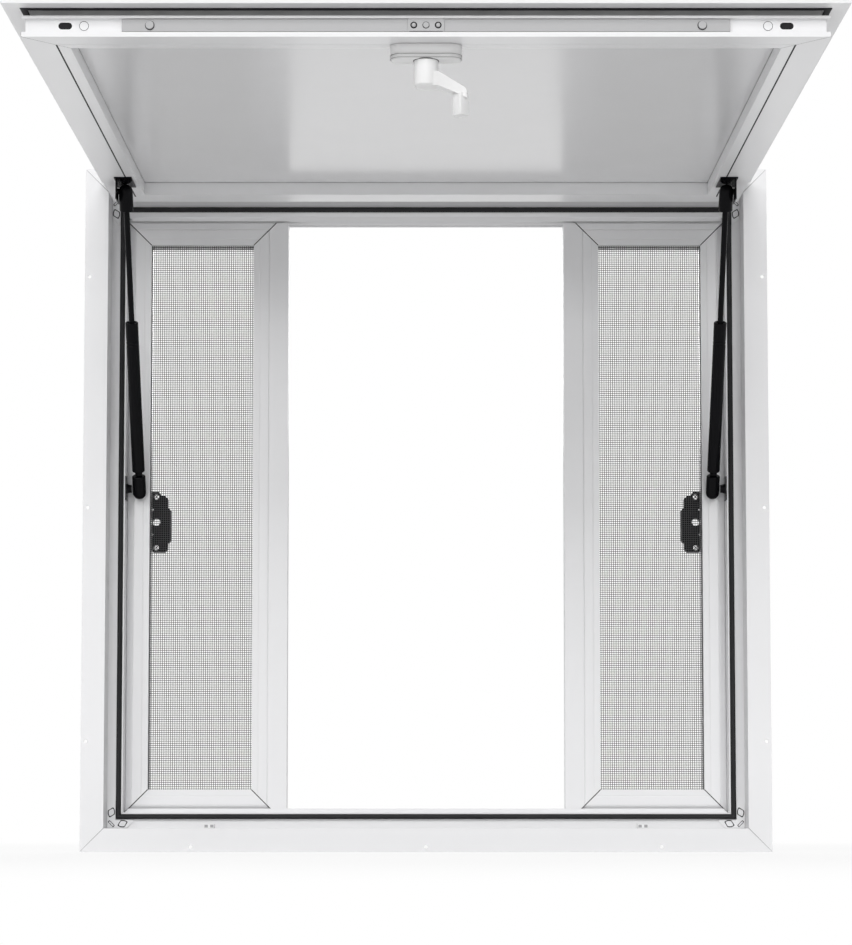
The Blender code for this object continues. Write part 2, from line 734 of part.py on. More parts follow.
def dress_front_band(hinge, rail):
    """Oval openings and round plugs in the band of the front rail, beside the lock bar."""
    face = BAND_DEPTH - DOOR_END
    length, height = SLOT_SIZE
    radius = height / 2
    straight = length / 2 - radius
    oval = arc((straight, 0), radius, -90, 90, 8) + arc((-straight, 0), radius, 90, 270, 8)
    for side, sign in (("left", -1), ("right", 1)):
        spot = Matrix.Translation((sign * SLOT_X, -BAND_MIDDLE, face))
        mesh = extrusion(f"band_slot_{side}", [oval], 2 * BAND_DEPTH)
        boolean(rail, shape_cutter(f"band_slot_{side}", mesh, spot, hinge))
        spot = Matrix.Translation((sign * PLUG_X, -BAND_MIDDLE, face))
        plug = rod_cutter(f"band_plug_{side}", PLUG_RADIUS, 2 * PLUG_PROUD, spot, hinge)
        boolean(rail, plug, "UNION")


def build_door(hinge):
    out = Vector((0, -1, 0))
    middle = Vector((0, 0, -DOOR_MIDDLE))
    labels = {"head": "door_rail_rear", "sill": "door_rail_front"}
    for side, inward, place in four_sides(DOOR_HALF, DOOR_HALF, middle, out):
        name = labels.get(side, "door_rail_" + side)
        section = rail_section(side == "head")
        rail = solid(name, mitred(name, section, 2 * DOOR_HALF), WHITE_COAT, hinge, place)
        if side == "sill":
            dress_front_band(hinge, rail)

    width = 2 * (DOOR_HALF + DOOR_LAP)
    height = DOOR_END + DOOR_LAP
    skin_mesh = box_mesh("door_skin", (width, SKIN_HEM, height))
    spot = Vector((0, SKIN_HEM / 2 - SKIN_OUT, -height / 2))
    skin = solid("door_skin", skin_mesh, WHITE_COAT, hinge, Matrix.Translation(spot))
    pocket_size = (2 * (DOOR_HALF + SEAM), SKIN_HEM, DOOR_END + SEAM + DOOR_LAP)
    pocket = guide(bpy.data.objects.new("skin_pocket", box_mesh("skin_pocket", pocket_size)))
    pocket.parent = hinge
    lift = SKIN_THICK + SKIN_HEM / 2 - SKIN_OUT
    pocket.location = (0, lift, DOOR_LAP - pocket_size[2] / 2)
    boolean(skin, pocket)

    inset = RAIL_SHELF + SEAM
    side = 2 * (DOOR_HALF - inset)
    thick = RAIL_TOP + PANEL_INNER
    panel_mesh = box_mesh("door_panel", (side, thick, side))
    spot = Vector((0, PANEL_INNER - thick / 2, -DOOR_MIDDLE))
    panel = solid("door_panel", panel_mesh, PANEL_COAT, hinge, Matrix.Translation(spot))
    inside = side - 2 * PANEL_SHEET
    hollow_mesh = box_mesh("panel_hollow", (inside, thick, inside))
    hollow = guide(bpy.data.objects.new("panel_hollow", hollow_mesh))
    hollow.parent = hinge
    hollow.location = spot - Vector((0, PANEL_SHEET, 0))
    boolean(panel, hollow)


def build_hinge_strip():
    """Round bead on a foot along the head flange; the door's rear rail hooks over it."""
    foot_back = HINGE_OUT - FLANGE_THICK - SEAM
    foot_front = foot_back - BEAD_FOOT_THICK
    half_web = BEAD_WEB / 2
    joint = math.degrees(math.asin(half_web / BEAD_RADIUS))
    outline = arc((0, 0), BEAD_RADIUS, 90 + joint, 450 - joint, 16)
    outline += [
        (half_web, foot_front),
        (BEAD_FOOT / 2, foot_front),
        (BEAD_FOOT / 2, foot_back),
        (-BEAD_FOOT / 2, foot_back),
        (-BEAD_FOOT / 2, foot_front),
        (-half_web, foot_front),
    ]
    mesh = extrusion("hinge_strip", [outline], 2 * DOOR_HALF - 2 * SEAM)
    place = frame_axes(-UP, BACK, Vector((0, HINGE_Y, HINGE_Z)))
    solid("hinge_strip", mesh, WHITE_COAT, None, place)


def build_lock_bar(hinge):
    seat = DOOR_END - BAND_DEPTH + SEAM
    slide = empty("lock_bar_axis", (0, -BAND_MIDDLE, -seat), hinge)
    size = (LOCK_BAR_LENGTH, LOCK_BAR_HEIGHT, LOCK_BAR_THICK)
    bar = solid("lock_bar", box_mesh("lock_bar", size, (0, 0, -LOCK_BAR_THICK / 2)), BARE_ALUMINIUM, slide)
    for side, sign in (("left", -1), ("right", 1)):
        spot = Matrix.Translation((sign * LOCK_STUD_X, 0, -LOCK_BAR_THICK))
        length = 2 * LOCK_STUD_PROUD
        stud = rod_cutter(f"lock_stud_{side}", LOCK_STUD_RADIUS, length, spot, slide)
        boolean(bar, stud, "UNION")
    width, height, thick = LOCK_CENTRE
    plate = box_mesh("lock_centre", (width, height, 2 * thick))
    spot = Matrix.Translation((0, 0, -LOCK_BAR_THICK))
    boolean(bar, shape_cutter("lock_centre", plate, spot, slide), "UNION")
    spot = Matrix.Translation((0, 0, -LOCK_BAR_THICK - thick))
    rivet = rod_cutter("lock_rivet", LOCK_RIVET_RADIUS, 2 * LOCK_RIVET_PROUD, spot, slide)
    boolean(bar, rivet, "UNION")
    return slide


def handle_base_mesh():
    """Stadium plate whose sides draw in towards the shaft."""
    length, width, height = HANDLE_BASE
    radius = width / 2
    straight = length / 2 - radius
    outline = arc((straight, 0), radius, -90, 90, 10) + arc((-straight, 0), radius, 90, 270, 10)
    mesh = extrusion("handle_base", [outline], height)
    for vertex in mesh.vertices:
        if vertex.co.z > 0:
            spine = Vector((max(-straight, min(straight, vertex.co.x)), 0, vertex.co.z))
            vertex.co = spine + (vertex.co - spine) * (1 - HANDLE_DRAFT / radius)
    return mesh


def arm_outline(shaft_end):
    """Side of the crank's arm and grip: X out from the shaft's axis, Y down from the door."""
    half = HANDLE_GRIP_WIDTH / 2
    root = shaft_end - HANDLE_ARM_RISE
    knuckle = root + HANDLE_ARM_FALL
    tip = HANDLE_REACH + half
    return [
        (0, root),
        (HANDLE_SHAFT_RADIUS, root),
        *arc((HANDLE_REACH, knuckle + half), half, -60, 0, 5),
        (tip, knuckle + 2 * half),
        (HANDLE_REACH - half, shaft_end + half),
        (HANDLE_SHAFT_RADIUS, shaft_end - SEAM),
        (0, shaft_end - SEAM),
    ]


def build_handle(hinge):
    """Crank handle: a base, and one moulding of shaft, tapered arm and square grip."""
    height = HANDLE_BASE[2]
    pivot = empty("handle_axis", (0, DOOR_INNER + SEAM, -HANDLE_DOWN), hinge)
    place = ALONG_Y @ Matrix.Translation((0, 0, height / 2))
    base = solid("handle_base", handle_base_mesh(), WHITE_PLASTIC, pivot, place)
    ease = base.modifiers.new("ease", "BEVEL")
    ease.width = HANDLE_EASE
    ease.segments = 2
    ease.limit_method = "ANGLE"
    ease.angle_limit = math.radians(50)

    start = height + SEAM
    end = start + HANDLE_SHAFT_LENGTH
    chamfer = 2 * MM
    shaft = turned(
        "handle_crank",
        [
            (0, end),
            (HANDLE_SHAFT_RADIUS - chamfer, end),
            (HANDLE_SHAFT_RADIUS, end - chamfer),
            (HANDLE_SHAFT_RADIUS, start),
            (0, start),
        ],
        WHITE_PLASTIC,
        pivot,
        ALONG_Y,
    )
    mesh = extrusion("handle_arm", [arm_outline(end)], HANDLE_ARM_WIDTH)
    reach = HANDLE_REACH + HANDLE_GRIP_WIDTH / 2
    slimmer = 1 - HANDLE_GRIP_WIDTH / HANDLE_ARM_WIDTH
    for vertex in mesh.vertices:
        vertex.co.z *= 1 - slimmer * vertex.co.x / reach
    boolean(shaft, shape_cutter("handle_arm", mesh, Matrix(), pivot), "UNION")
    grip_top = end - HANDLE_ARM_RISE + HANDLE_ARM_FALL + HANDLE_GRIP_WIDTH / 2
    size = (HANDLE_GRIP_WIDTH, HANDLE_GRIP_WIDTH, HANDLE_DROP - grip_top)
    spot = Matrix.Translation((HANDLE_REACH, (grip_top + HANDLE_DROP) / 2, 0)) @ ALONG_Y
    grip = shape_cutter("handle_grip", box_mesh("handle_grip", size), spot @ GRIP_TURN, pivot)
    round_off = grip.modifiers.new("ease", "BEVEL")
    round_off.width = HANDLE_EASE
    round_off.segments = 2
    boolean(shaft, grip, "UNION")
    return pivot


# Gas struts


def strut_line():
    """Upper pivot in the open door's world place, the open length and its tilt."""
    turn = Matrix.Rotation(math.radians(-OPEN_ANGLE), 4, "X")
    arm = turn @ Vector((0, UPPER_PIVOT_IN, -UPPER_PIVOT_DOWN))
    upper = Vector((0, HINGE_Y, HINGE_Z)) + arm
    run = Vector((0, LOWER_PIVOT_Y, LOWER_PIVOT_Z)) - upper
    return upper, run.length, math.atan2(run.y, -run.z)


def build_bracket(hinge, side, sign):
    """Angle bracket under a side rail: a drilled plate and one cheek with the strut's pin."""
    seat = DOOR_INNER + SEAM
    outer = BRACKET_WIDTH / 2
    inner = outer - BRACKET_THICK
    drop = CHEEK_DROP - SEAM
    name = f"strut_bracket_{side}"
    outline = [
        (-outer, 0),
        (outer, 0),
        (outer, drop),
        (inner, drop),
        (inner, BRACKET_THICK),
        (-outer, BRACKET_THICK),
    ]
    mesh = extrusion(name, [[(sign * x, y) for x, y in outline]], BRACKET_LENGTH)
    rear = CHEEK_LENGTH / 2 + BRACKET_AHEAD
    place = Matrix.Translation((sign * STRUT_X, seat, -UPPER_PIVOT_DOWN - BRACKET_AHEAD))
    bracket = solid(name, mesh, BLACK_PAINT, hinge, place)
    cut_length = BRACKET_LENGTH
    trim_mesh = box_mesh(f"{name}_trim", (BRACKET_WIDTH, 2 * drop, cut_length))
    front = rear - CHEEK_LENGTH - cut_length / 2
    trim_place = place @ Matrix.Translation((sign * BRACKET_WIDTH / 2, BRACKET_THICK + drop, front))
    boolean(bracket, shape_cutter(f"{name}_trim", trim_mesh, trim_place, hinge))
    for count, (ahead, radius) in enumerate(BRACKET_HOLES):
        spot = (sign * STRUT_X, seat, -UPPER_PIVOT_DOWN - ahead)
        hole = Matrix.Translation(spot) @ ALONG_Y
        boolean(bracket, rod_cutter(f"{name}_hole_{count}", radius, 4 * BRACKET_THICK, hole, hinge))
    pin_length = inner + SOCKET_RADIUS / 2
    middle = STRUT_X + (BRACKET_THICK + inner - SOCKET_RADIUS / 2) / 2
    spot = Matrix.Translation((sign * middle, UPPER_PIVOT_IN, -UPPER_PIVOT_DOWN))
    pin = rod_cutter(f"{name}_pin", PIN_RADIUS, pin_length, spot @ ALONG_X, hinge)
    boolean(bracket, pin, "UNION")


def socket(name, parent, length, tip, flip):
    """End fitting of a strut: a rounded barrel with an eye for the pin, its mouth along Z."""
    radius = SOCKET_RADIUS
    ease = 2 * MM
    dome = arc((0, tip - radius), radius, 90, 0, 6)
    profile = [
        (0, tip),
        *dome[1:],
        (radius, ease - length),
        (radius - ease, -length),
        (0, -length),
    ]
    place = Matrix.Rotation(math.pi, 4, "X") if flip else Matrix()
    thing = turned(name, profile, BLACK_PAINT, parent, place)
    eye = rod_cutter(f"{name}_eye", PIN_RADIUS + ROD_PLAY, 3 * radius, ALONG_X, parent)
    boolean(thing, eye)
    return thing


def cylinder_profile(start, end):
    """Half section of a strut's cylinder between its open end and its neck, as one line."""
    bore = CYLINDER_RADIUS - CYLINDER_WALL
    gland = ROD_RADIUS + ROD_PLAY
    body_end = end + NECK_LENGTH
    grooves = []
    for place in CYLINDER_GROOVES:
        middle = start - place
        grooves += [
            (CYLINDER_RADIUS, middle + GROOVE_WIDTH / 2),
            (CYLINDER_RADIUS - GROOVE_DEPTH, middle),
            (CYLINDER_RADIUS, middle - GROOVE_WIDTH / 2),
        ]
    return [
        (0, body_end + CYLINDER_EASE + CYLINDER_WALL),
        (bore, body_end + CYLINDER_EASE + CYLINDER_WALL),
        (bore, start - PISTON_LENGTH),
        (gland, start - PISTON_LENGTH),
        (gland, start - CYLINDER_EASE),
        (bore - CYLINDER_WALL, start - CYLINDER_EASE),
        (bore - CYLINDER_WALL, start),
        (CYLINDER_RADIUS - CYLINDER_EASE, start),
        (CYLINDER_RADIUS, start - CYLINDER_EASE),
        *grooves,
        (CYLINDER_RADIUS, body_end + CYLINDER_EASE),
        (NECK_RADIUS, body_end),
        (NECK_RADIUS, end),
        (0, end),
    ]


def build_strut(hinge, side, sign):
    upper, length, tilt = strut_line()
    prefix = f"strut_{side}"
    spot = (sign * STRUT_X, UPPER_PIVOT_IN, -UPPER_PIVOT_DOWN)
    top = empty(f"{prefix}_upper_pivot", spot, hinge, math.radians(OPEN_ANGLE) + tilt)
    socket(f"{prefix}_top_socket", top, UPPER_SOCKET_LENGTH, SOCKET_RADIUS, False)
    rod_top = -UPPER_SOCKET_LENGTH - SEAM
    piston_top = -CYLINDER_START - 2 * PISTON_LENGTH
    piston = CYLINDER_RADIUS - CYLINDER_WALL - ROD_PLAY
    turned(
        f"{prefix}_rod",
        [
            (0, rod_top),
            (ROD_RADIUS, rod_top),
            (ROD_RADIUS, piston_top),
            (piston, piston_top),
            (piston, piston_top - PISTON_LENGTH),
            (0, piston_top - PISTON_LENGTH),
        ],
        BLACK_PAINT,
        top,
    )
    slide = empty(f"{prefix}_slide", (0, 0, -length), top)
    outline = cylinder_profile(length - CYLINDER_START, LOWER_SOCKET_LENGTH + SEAM)
    turned(f"{prefix}_cylinder", outline, BLACK_PAINT, slide)
    socket(f"{prefix}_bottom_socket", slide, LOWER_SOCKET_LENGTH, LOWER_SOCKET_TIP, True)


def build_stud(side, sign):
    """Plate on a jamb with a trumpet-shaped stud that reaches to the strut's lower socket."""
    name = f"strut_stud_{side}"
    wall = HALF_INNER - SEAM
    width = STUD_PLATE[0]
    place = Matrix.Translation((sign * (wall - width / 2), LOWER_PIVOT_Y, LOWER_PIVOT_Z))
    stud = solid(name, box_mesh(name, STUD_PLATE), BLACK_PAINT, None, place)
    reach = wall - width / 2 - (STRUT_X + SOCKET_RADIUS + 3 * SEAM)
    flare = STUD_FLARE - STUD_NECK
    steps = [
        (STUD_NECK + flare * (1 - math.sin(turn)), reach * (1 - math.cos(turn)))
        for turn in (math.radians(18 * count) for count in range(6))
    ]
    trumpet = [(0, reach), *reversed(steps), (0, 0)]
    spot = Matrix.Translation((sign * (wall - width / 2), LOWER_PIVOT_Y, LOWER_PIVOT_Z))
    facing = spot @ Matrix.Rotation(math.radians(-90 * sign), 4, "Y")
    boolean(stud, turn(shape_cutter(f"{name}_trumpet", profile_mesh(name, trumpet), facing)), "UNION")


def build():
    build_frame()
    build_corner_keys()
    build_keepers()
    build_hinge_strip()
    for side, sign in (("left", -1), ("right", 1)):
        build_screen(0, side, sign)
        build_screen(1, side, sign)
        build_latch(side, sign)
    hinge = empty("door_hinge", (0, HINGE_Y, HINGE_Z), None, math.radians(-OPEN_ANGLE))
    build_door(hinge)
    build_lock_bar(hinge)
    build_handle(hinge)
    for side, sign in (("left", -1), ("right", 1)):
        build_bracket(hinge, side, sign)
        build_strut(hinge, side, sign)
        build_stud(side, sign)
    bpy.context.view_layer.update()


build()
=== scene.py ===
import json
import math

import bmesh
import bpy
import numpy as np
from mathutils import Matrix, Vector


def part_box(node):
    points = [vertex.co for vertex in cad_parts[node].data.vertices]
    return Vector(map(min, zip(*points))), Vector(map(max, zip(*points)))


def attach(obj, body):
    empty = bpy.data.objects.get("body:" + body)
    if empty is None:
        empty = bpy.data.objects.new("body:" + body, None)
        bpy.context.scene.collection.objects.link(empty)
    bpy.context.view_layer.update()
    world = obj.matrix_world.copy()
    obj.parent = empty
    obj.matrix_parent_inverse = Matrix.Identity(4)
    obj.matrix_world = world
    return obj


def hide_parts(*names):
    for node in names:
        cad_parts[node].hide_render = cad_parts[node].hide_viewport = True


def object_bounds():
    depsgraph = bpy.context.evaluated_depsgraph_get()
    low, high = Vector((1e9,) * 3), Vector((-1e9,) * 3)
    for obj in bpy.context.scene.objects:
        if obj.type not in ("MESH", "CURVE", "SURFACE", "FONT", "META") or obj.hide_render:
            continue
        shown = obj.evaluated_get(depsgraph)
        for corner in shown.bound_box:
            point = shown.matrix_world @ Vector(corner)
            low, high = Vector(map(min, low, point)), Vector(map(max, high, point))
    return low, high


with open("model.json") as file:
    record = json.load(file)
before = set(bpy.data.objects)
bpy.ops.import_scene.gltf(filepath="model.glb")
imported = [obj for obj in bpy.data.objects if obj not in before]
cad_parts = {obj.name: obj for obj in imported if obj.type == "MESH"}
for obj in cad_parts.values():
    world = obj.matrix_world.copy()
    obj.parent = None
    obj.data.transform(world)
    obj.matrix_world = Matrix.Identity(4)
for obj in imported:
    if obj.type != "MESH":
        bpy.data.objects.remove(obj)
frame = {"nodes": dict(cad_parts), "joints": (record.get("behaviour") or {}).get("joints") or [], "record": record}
cadBox = [list(corner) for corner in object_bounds()]
mm = 0.001
nearest = 0.002 * mm                  # points of a new piece closer than this become one
photoEye = (0.0, -3.8043, 0.0351)     # where the photograph is taken from


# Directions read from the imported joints


def jointNamed(name):
    return next(joint for joint in frame["joints"] if joint["name"] == name)


def unit(vector):
    vector = np.array(vector, float)
    return vector / np.linalg.norm(vector)


across = np.array((1.0, 0.0, 0.0))
upright = np.array((0.0, 0.0, 1.0))
outward = np.array((0.0, -1.0, 0.0))                  # from the frame towards the customer
hingeSpot = np.array(jointNamed("awning_hinge")["pos_m"], float)
doorOut = unit(jointNamed("handle_turn")["axis"])     # through the door, towards the sky
doorDown = np.cross(across, doorOut)                  # from the hinge to the door's front edge
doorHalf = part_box("door_rail_right")[1].x             # half the width of the door's body


def doorSpot(x, inside, down):
    # a place on the open door: across it, from its outer side inwards and down from the hinge
    return hingeSpot + x * across - inside * doorOut + down * doorDown


def vertexArray(node):
    mesh = frame["nodes"][node].data
    flat = np.empty(len(mesh.vertices) * 3)
    mesh.vertices.foreach_get("co", flat)
    return flat.reshape(-1, 3)


def spanAlong(node, spot, direction):
    # where a CAD piece starts and ends along a line, and how far it reaches from the line
    offsets = vertexArray(node) - spot
    along = offsets @ direction
    radial = np.linalg.norm(offsets - along[:, None] * direction, axis=1)
    return along.min(), along.max(), radial.max()


# Small library for surfaces


def gridFaces(rows, columns, wrapRows=False, wrapColumns=False):
    # quads between neighbours of a rows by columns grid, closed round where asked
    r, c = np.meshgrid(
        np.arange(rows if wrapRows else rows - 1),
        np.arange(columns if wrapColumns else columns - 1),
        indexing="ij",
    )
    nextRow, nextColumn = (r + 1) % rows, (c + 1) % columns
    corners = [r * columns + c, r * columns + nextColumn,
               nextRow * columns + nextColumn, nextRow * columns + c]
    return np.stack(corners, -1).reshape(-1, 4)


def eased(points, radius, steps=4):
    # every inner point of an open line gives way to a parabola: (1-t)^2 a + 2t(1-t) p + t^2 b,
    # where a and b lie on its two legs, a radius away or half the leg where that is shorter
    points = np.array(points, float)
    before, corner, after = points[:-2], points[1:-1], points[2:]
    toBefore, toAfter = before - corner, after - corner
    lengthBefore = np.linalg.norm(toBefore, axis=1, keepdims=True)
    lengthAfter = np.linalg.norm(toAfter, axis=1, keepdims=True)
    reach = np.minimum(radius, np.minimum(lengthBefore, lengthAfter) / 2)
    a = (corner + toBefore / lengthBefore * reach)[:, None]
    b = (corner + toAfter / lengthAfter * reach)[:, None]
    t = np.linspace(0, 1, steps + 1)[None, :, None]
    curve = (1 - t) ** 2 * a + 2 * t * (1 - t) * corner[:, None] + t ** 2 * b
    return np.vstack([points[:1], curve.reshape(-1, points.shape[1]), points[-1:]])


def easedRing(points, radius, steps=3):
    # the same for a closed outline
    ring = np.vstack([points[-1:], points, points[:1]])
    return eased(ring, radius, steps)[1:-1]


def newPiece(name, points, faces, finish, body, smoothAngle=35):
    # puts points and faces into a mesh, merges doubles, turns the faces outwards and names its
    # body; the finish gives its material
    mesh = bpy.data.meshes.new(name)
    mesh.from_pydata(np.asarray(points).reshape(-1, 3).tolist(), [], [list(face) for face in faces])
    shape = bmesh.new()
    shape.from_mesh(mesh)
    bmesh.ops.remove_doubles(shape, verts=shape.verts, dist=nearest)
    bmesh.ops.recalc_face_normals(shape, faces=shape.faces)
    shape.to_mesh(mesh)
    shape.free()
    mesh.shade_smooth()
    mesh.set_sharp_from_angle(angle=math.radians(smoothAngle))
    mesh.materials.append(finishes[finish])
    piece = bpy.data.objects.new(name, mesh)
    bpy.context.scene.collection.objects.link(piece)
    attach(piece, body)
    return piece


def turnedPoints(profile, spot, direction, segments=48):
    # point = spot + height * direction + radius * (cos a * side + sin a * other), for an axis
    # that doesn't run along X
    profile = np.array(profile, float)
    direction = unit(direction)
    side = unit(np.cross(direction, across))
    other = np.cross(direction, side)
    angle = np.linspace(0, 2 * math.pi, segments, endpoint=False)
    spokes = np.cos(angle)[:, None] * side + np.sin(angle)[:, None] * other
    rings = profile[:, 0, None, None] * spokes[None] + (profile[:, 1, None] * direction)[:, None]
    return spot + rings


def turnedPiece(name, profile, spot, direction, finish, body, segments=48):
    points = turnedPoints(profile, spot, direction, segments)
    faces = gridFaces(len(profile), segments, wrapColumns=True)
    return newPiece(name, points, faces, finish, body)


def flatRing(narrow, wide, proud):
    # section of a thin ring sunk a little in the face that it lies on
    sunk = -0.3 * mm
    return [(narrow, sunk), (wide, sunk), (wide, proud), (narrow, proud), (narrow, sunk)]


def prismPoints(outline, low, high, spot, right, up, depth):
    # outline point (x, y) and height h give spot + x * right + y * up + h * depth
    outline = np.array(outline, float)
    flat = outline[:, :1] * right + outline[:, 1:] * up
    heights = np.array([low, high])[:, None, None] * depth
    return spot + flat[None] + heights


def mitredPoints(profile, start, end, side, up, mitre=1.0):
    # profile point (u, h) runs from start + u * side + h * up to the same beside end,
    # and is cut back at both ends by mitre * u
    profile = np.array(profile, float)
    direction = unit(end - start)
    flat = profile[:, :1] * side + profile[:, 1:] * up
    back = mitre * profile[:, :1] * direction
    return np.stack([start + flat + back, end + flat - back])


def ringPoints(outer, inner, low, high, spot, right, up, depth):
    # two outlines with as many points each, at two heights: outer low, outer high, inner high,
    # inner low, each point as in prismPoints
    outside = prismPoints(outer, low, high, spot, right, up, depth)
    inside = prismPoints(inner, high, low, spot, right, up, depth)
    return np.concatenate([outside, inside])


def stadium(length, width, steps=12):
    # two half circles of the width, joined by straight sides, length over all
    turn = np.linspace(-math.pi / 2, math.pi / 2, steps)
    end = np.stack([np.cos(turn), np.sin(turn)], 1) * width / 2
    reach = np.array([(length - width) / 2, 0])
    return np.vstack([end + reach, -end - reach])


def ringFaces(count):
    # a ring's four sides, closed both ways
    return gridFaces(4, count, wrapRows=True, wrapColumns=True).tolist()


def straightStrip(section, start, end, side, up):
    # a section carried straight from start to end, with its faces
    return mitredPoints(section, start, end, side, up, 0.0), prismFaces(len(section))


def rectangle(left, right, low, high):
    return [(left, low), (right, low), (right, high), (left, high)]


def combined(parts):
    # several (points, faces) shapes in one list of points
    points, faces, start = [], [], 0
    for shapePoints, shapeFaces in parts:
        flat = np.asarray(shapePoints).reshape(-1, 3)
        points.append(flat)
        faces += [[corner + start for corner in face] for face in shapeFaces]
        start += len(flat)
    return np.vstack(points), faces


def prismFaces(count):
    # the sides and both ends of a prism, or of a strip with that section
    sides = gridFaces(2, count, wrapColumns=True)
    ends = [list(range(count)), list(range(count, 2 * count))]
    return [*sides.tolist(), *ends]


# Shader nodes written as expressions


class Flow:
    # what comes out of a node, with + - * on numbers as Math nodes
    def __init__(self, shading, socket):
        self.shading = shading
        self.socket = socket

    def combine(self, operation, left, right):
        return self.shading.node("ShaderNodeMath", {"operation": operation}, {0: left, 1: right})

    def __add__(self, other):
        return self.combine("ADD", self, other)

    def __radd__(self, other):
        return self.combine("ADD", other, self)

    def __sub__(self, other):
        return self.combine("SUBTRACT", self, other)

    def __rsub__(self, other):
        return self.combine("SUBTRACT", other, self)

    def __mul__(self, other):
        return self.combine("MULTIPLY", self, other)

    def __rmul__(self, other):
        return self.combine("MULTIPLY", other, self)


class Shading:
    # makes the nodes of one tree
    def __init__(self, tree):
        self.tree = tree

    def node(self, kind, settings=None, sockets=None, output=0):
        made = self.tree.nodes.new(kind)
        for key, value in (settings or {}).items():
            setattr(made, key, value)
        for key, value in (sockets or {}).items():
            if isinstance(value, Flow):
                self.tree.links.new(value.socket, made.inputs[key])
            else:
                made.inputs[key].default_value = value
        return Flow(self, made.outputs[output])

    def show(self, flow, outputNode):
        self.tree.links.new(flow.socket, self.tree.nodes[outputNode].inputs["Surface"])


class Finish(Shading):
    # a material: one Principled shader and the nodes that feed it
    def __init__(self, name, **values):
        self.material = bpy.data.materials.new(name)
        self.material.use_nodes = True
        super().__init__(self.material.node_tree)
        self.shader = self.tree.nodes["Principled BSDF"]
        for key, value in values.items():
            socket = key.replace("_", " ").title().replace("Ior", "IOR")
            self.shader.inputs[socket].default_value = value

    def noise(self, scale, detail=2.0, roughness=0.5, stretch=(1, 1, 1)):
        spot = self.node("ShaderNodeTexCoord", output="Object")
        placed = self.node("ShaderNodeMapping", {}, {"Vector": spot, "Scale": stretch})
        sockets = {"Vector": placed, "Scale": scale, "Detail": detail, "Roughness": roughness}
        return self.node("ShaderNodeTexNoise", {}, sockets, "Fac")

    def blend(self, amount, first, second):
        sockets = {"Factor": amount, 6: (*first, 1), 7: (*second, 1)}
        return self.node("ShaderNodeMix", {"data_type": "RGBA"}, sockets, 2)

    def feed(self, socket, flow):
        self.tree.links.new(flow.socket, self.shader.inputs[socket])

    def relief(self, height, strength, distance):
        sockets = {"Height": height, "Strength": strength, "Distance": distance}
        self.feed("Normal", self.node("ShaderNodeBump", {}, sockets))


powderLook = {
    "coat": 0.25,
    "coatRoughness": 0.15,
    "driftScale": 5.0,       # slow change of tone over a panel
    "darker": 0.965,
    "hazeScale": 14.0,
    "haze": 0.1,             # spread of the roughness
    "peelScale": 650.0,
    "peelStrength": 0.12,
    "peelHeight": 0.4 * mm,
}
mouldedLook = {
    "driftScale": 30.0,
    "paler": (1.05, 0.002),  # factor and lift of the paler tone
    "hazeScale": 120.0,
    "haze": 0.08,
    "grainStrength": 0.15,
}
brushedLook = {
    "metal": 0.35,           # the anodic layer keeps the shine low
    "lineScale": 90.0,
    "stretch": (0.04, 1, 1),
    "duller": 0.86,
    "haze": 0.16,
    "lineStrength": 0.1,
    "lineHeight": 0.2 * mm,
}
rubberLook = {
    "shine": 0.1,
    "bloomScale": 22.0,
    "greyer": (1.7, 0.004),
    "hazeScale": 300.0,
    "haze": 0.12,
    "pitScale": 900.0,
    "pitStrength": 0.2,
    "pitHeight": 0.3 * mm,
}


def toned(colour, factor, lift=0.0):
    return tuple(channel * factor + lift for channel in colour)


def powderCoat(name, colour, roughness):
    # satin powder coat: fine orange peel, and a tone that drifts slowly over a panel
    look = powderLook
    finish = Finish(name, roughness=roughness, coat_weight=look["coat"],
                    coat_roughness=look["coatRoughness"])
    drift = finish.noise(look["driftScale"])
    finish.feed("Base Color", finish.blend(drift, toned(colour, look["darker"]), colour))
    haze = finish.noise(look["hazeScale"], detail=3.0)
    finish.feed("Roughness", roughness - look["haze"] / 2 + look["haze"] * haze)
    peel = finish.noise(look["peelScale"], roughness=0.45)
    finish.relief(peel, look["peelStrength"], look["peelHeight"])
    return finish.material


def mouldedPlastic(name, colour, roughness, grain, depth, shine):
    # faintly mottled, with the mould's grain
    look = mouldedLook
    finish = Finish(name, roughness=roughness, specular_ior_level=shine)
    drift = finish.noise(look["driftScale"])
    finish.feed("Base Color", finish.blend(drift, colour, toned(colour, *look["paler"])))
    haze = finish.noise(look["hazeScale"])
    finish.feed("Roughness", roughness - look["haze"] / 2 + look["haze"] * haze)
    finish.relief(finish.noise(grain), look["grainStrength"], depth)
    return finish.material


def brushedAluminium(name, colour, roughness):
    # drawn lines run along X
    look = brushedLook
    finish = Finish(name, metallic=look["metal"], roughness=roughness)
    lines = finish.noise(look["lineScale"], detail=4.0, roughness=0.65, stretch=look["stretch"])
    finish.feed("Base Color", finish.blend(lines, toned(colour, look["duller"]), colour))
    finish.feed("Roughness", roughness - look["haze"] / 2 + look["haze"] * lines)
    finish.relief(lines, look["lineStrength"], look["lineHeight"])
    return finish.material


def extrudedRubber(name, colour, roughness):
    # faint bloom and a dry, pitted skin
    look = rubberLook
    finish = Finish(name, roughness=roughness, specular_ior_level=look["shine"])
    bloom = finish.noise(look["bloomScale"], detail=3.0)
    finish.feed("Base Color", finish.blend(bloom, colour, toned(colour, *look["greyer"])))
    haze = finish.noise(look["hazeScale"])
    finish.feed("Roughness", roughness - look["haze"] / 2 + look["haze"] * haze)
    pits = finish.noise(look["pitScale"], detail=3.0, roughness=0.6)
    finish.relief(pits, look["pitStrength"], look["pitHeight"])
    return finish.material


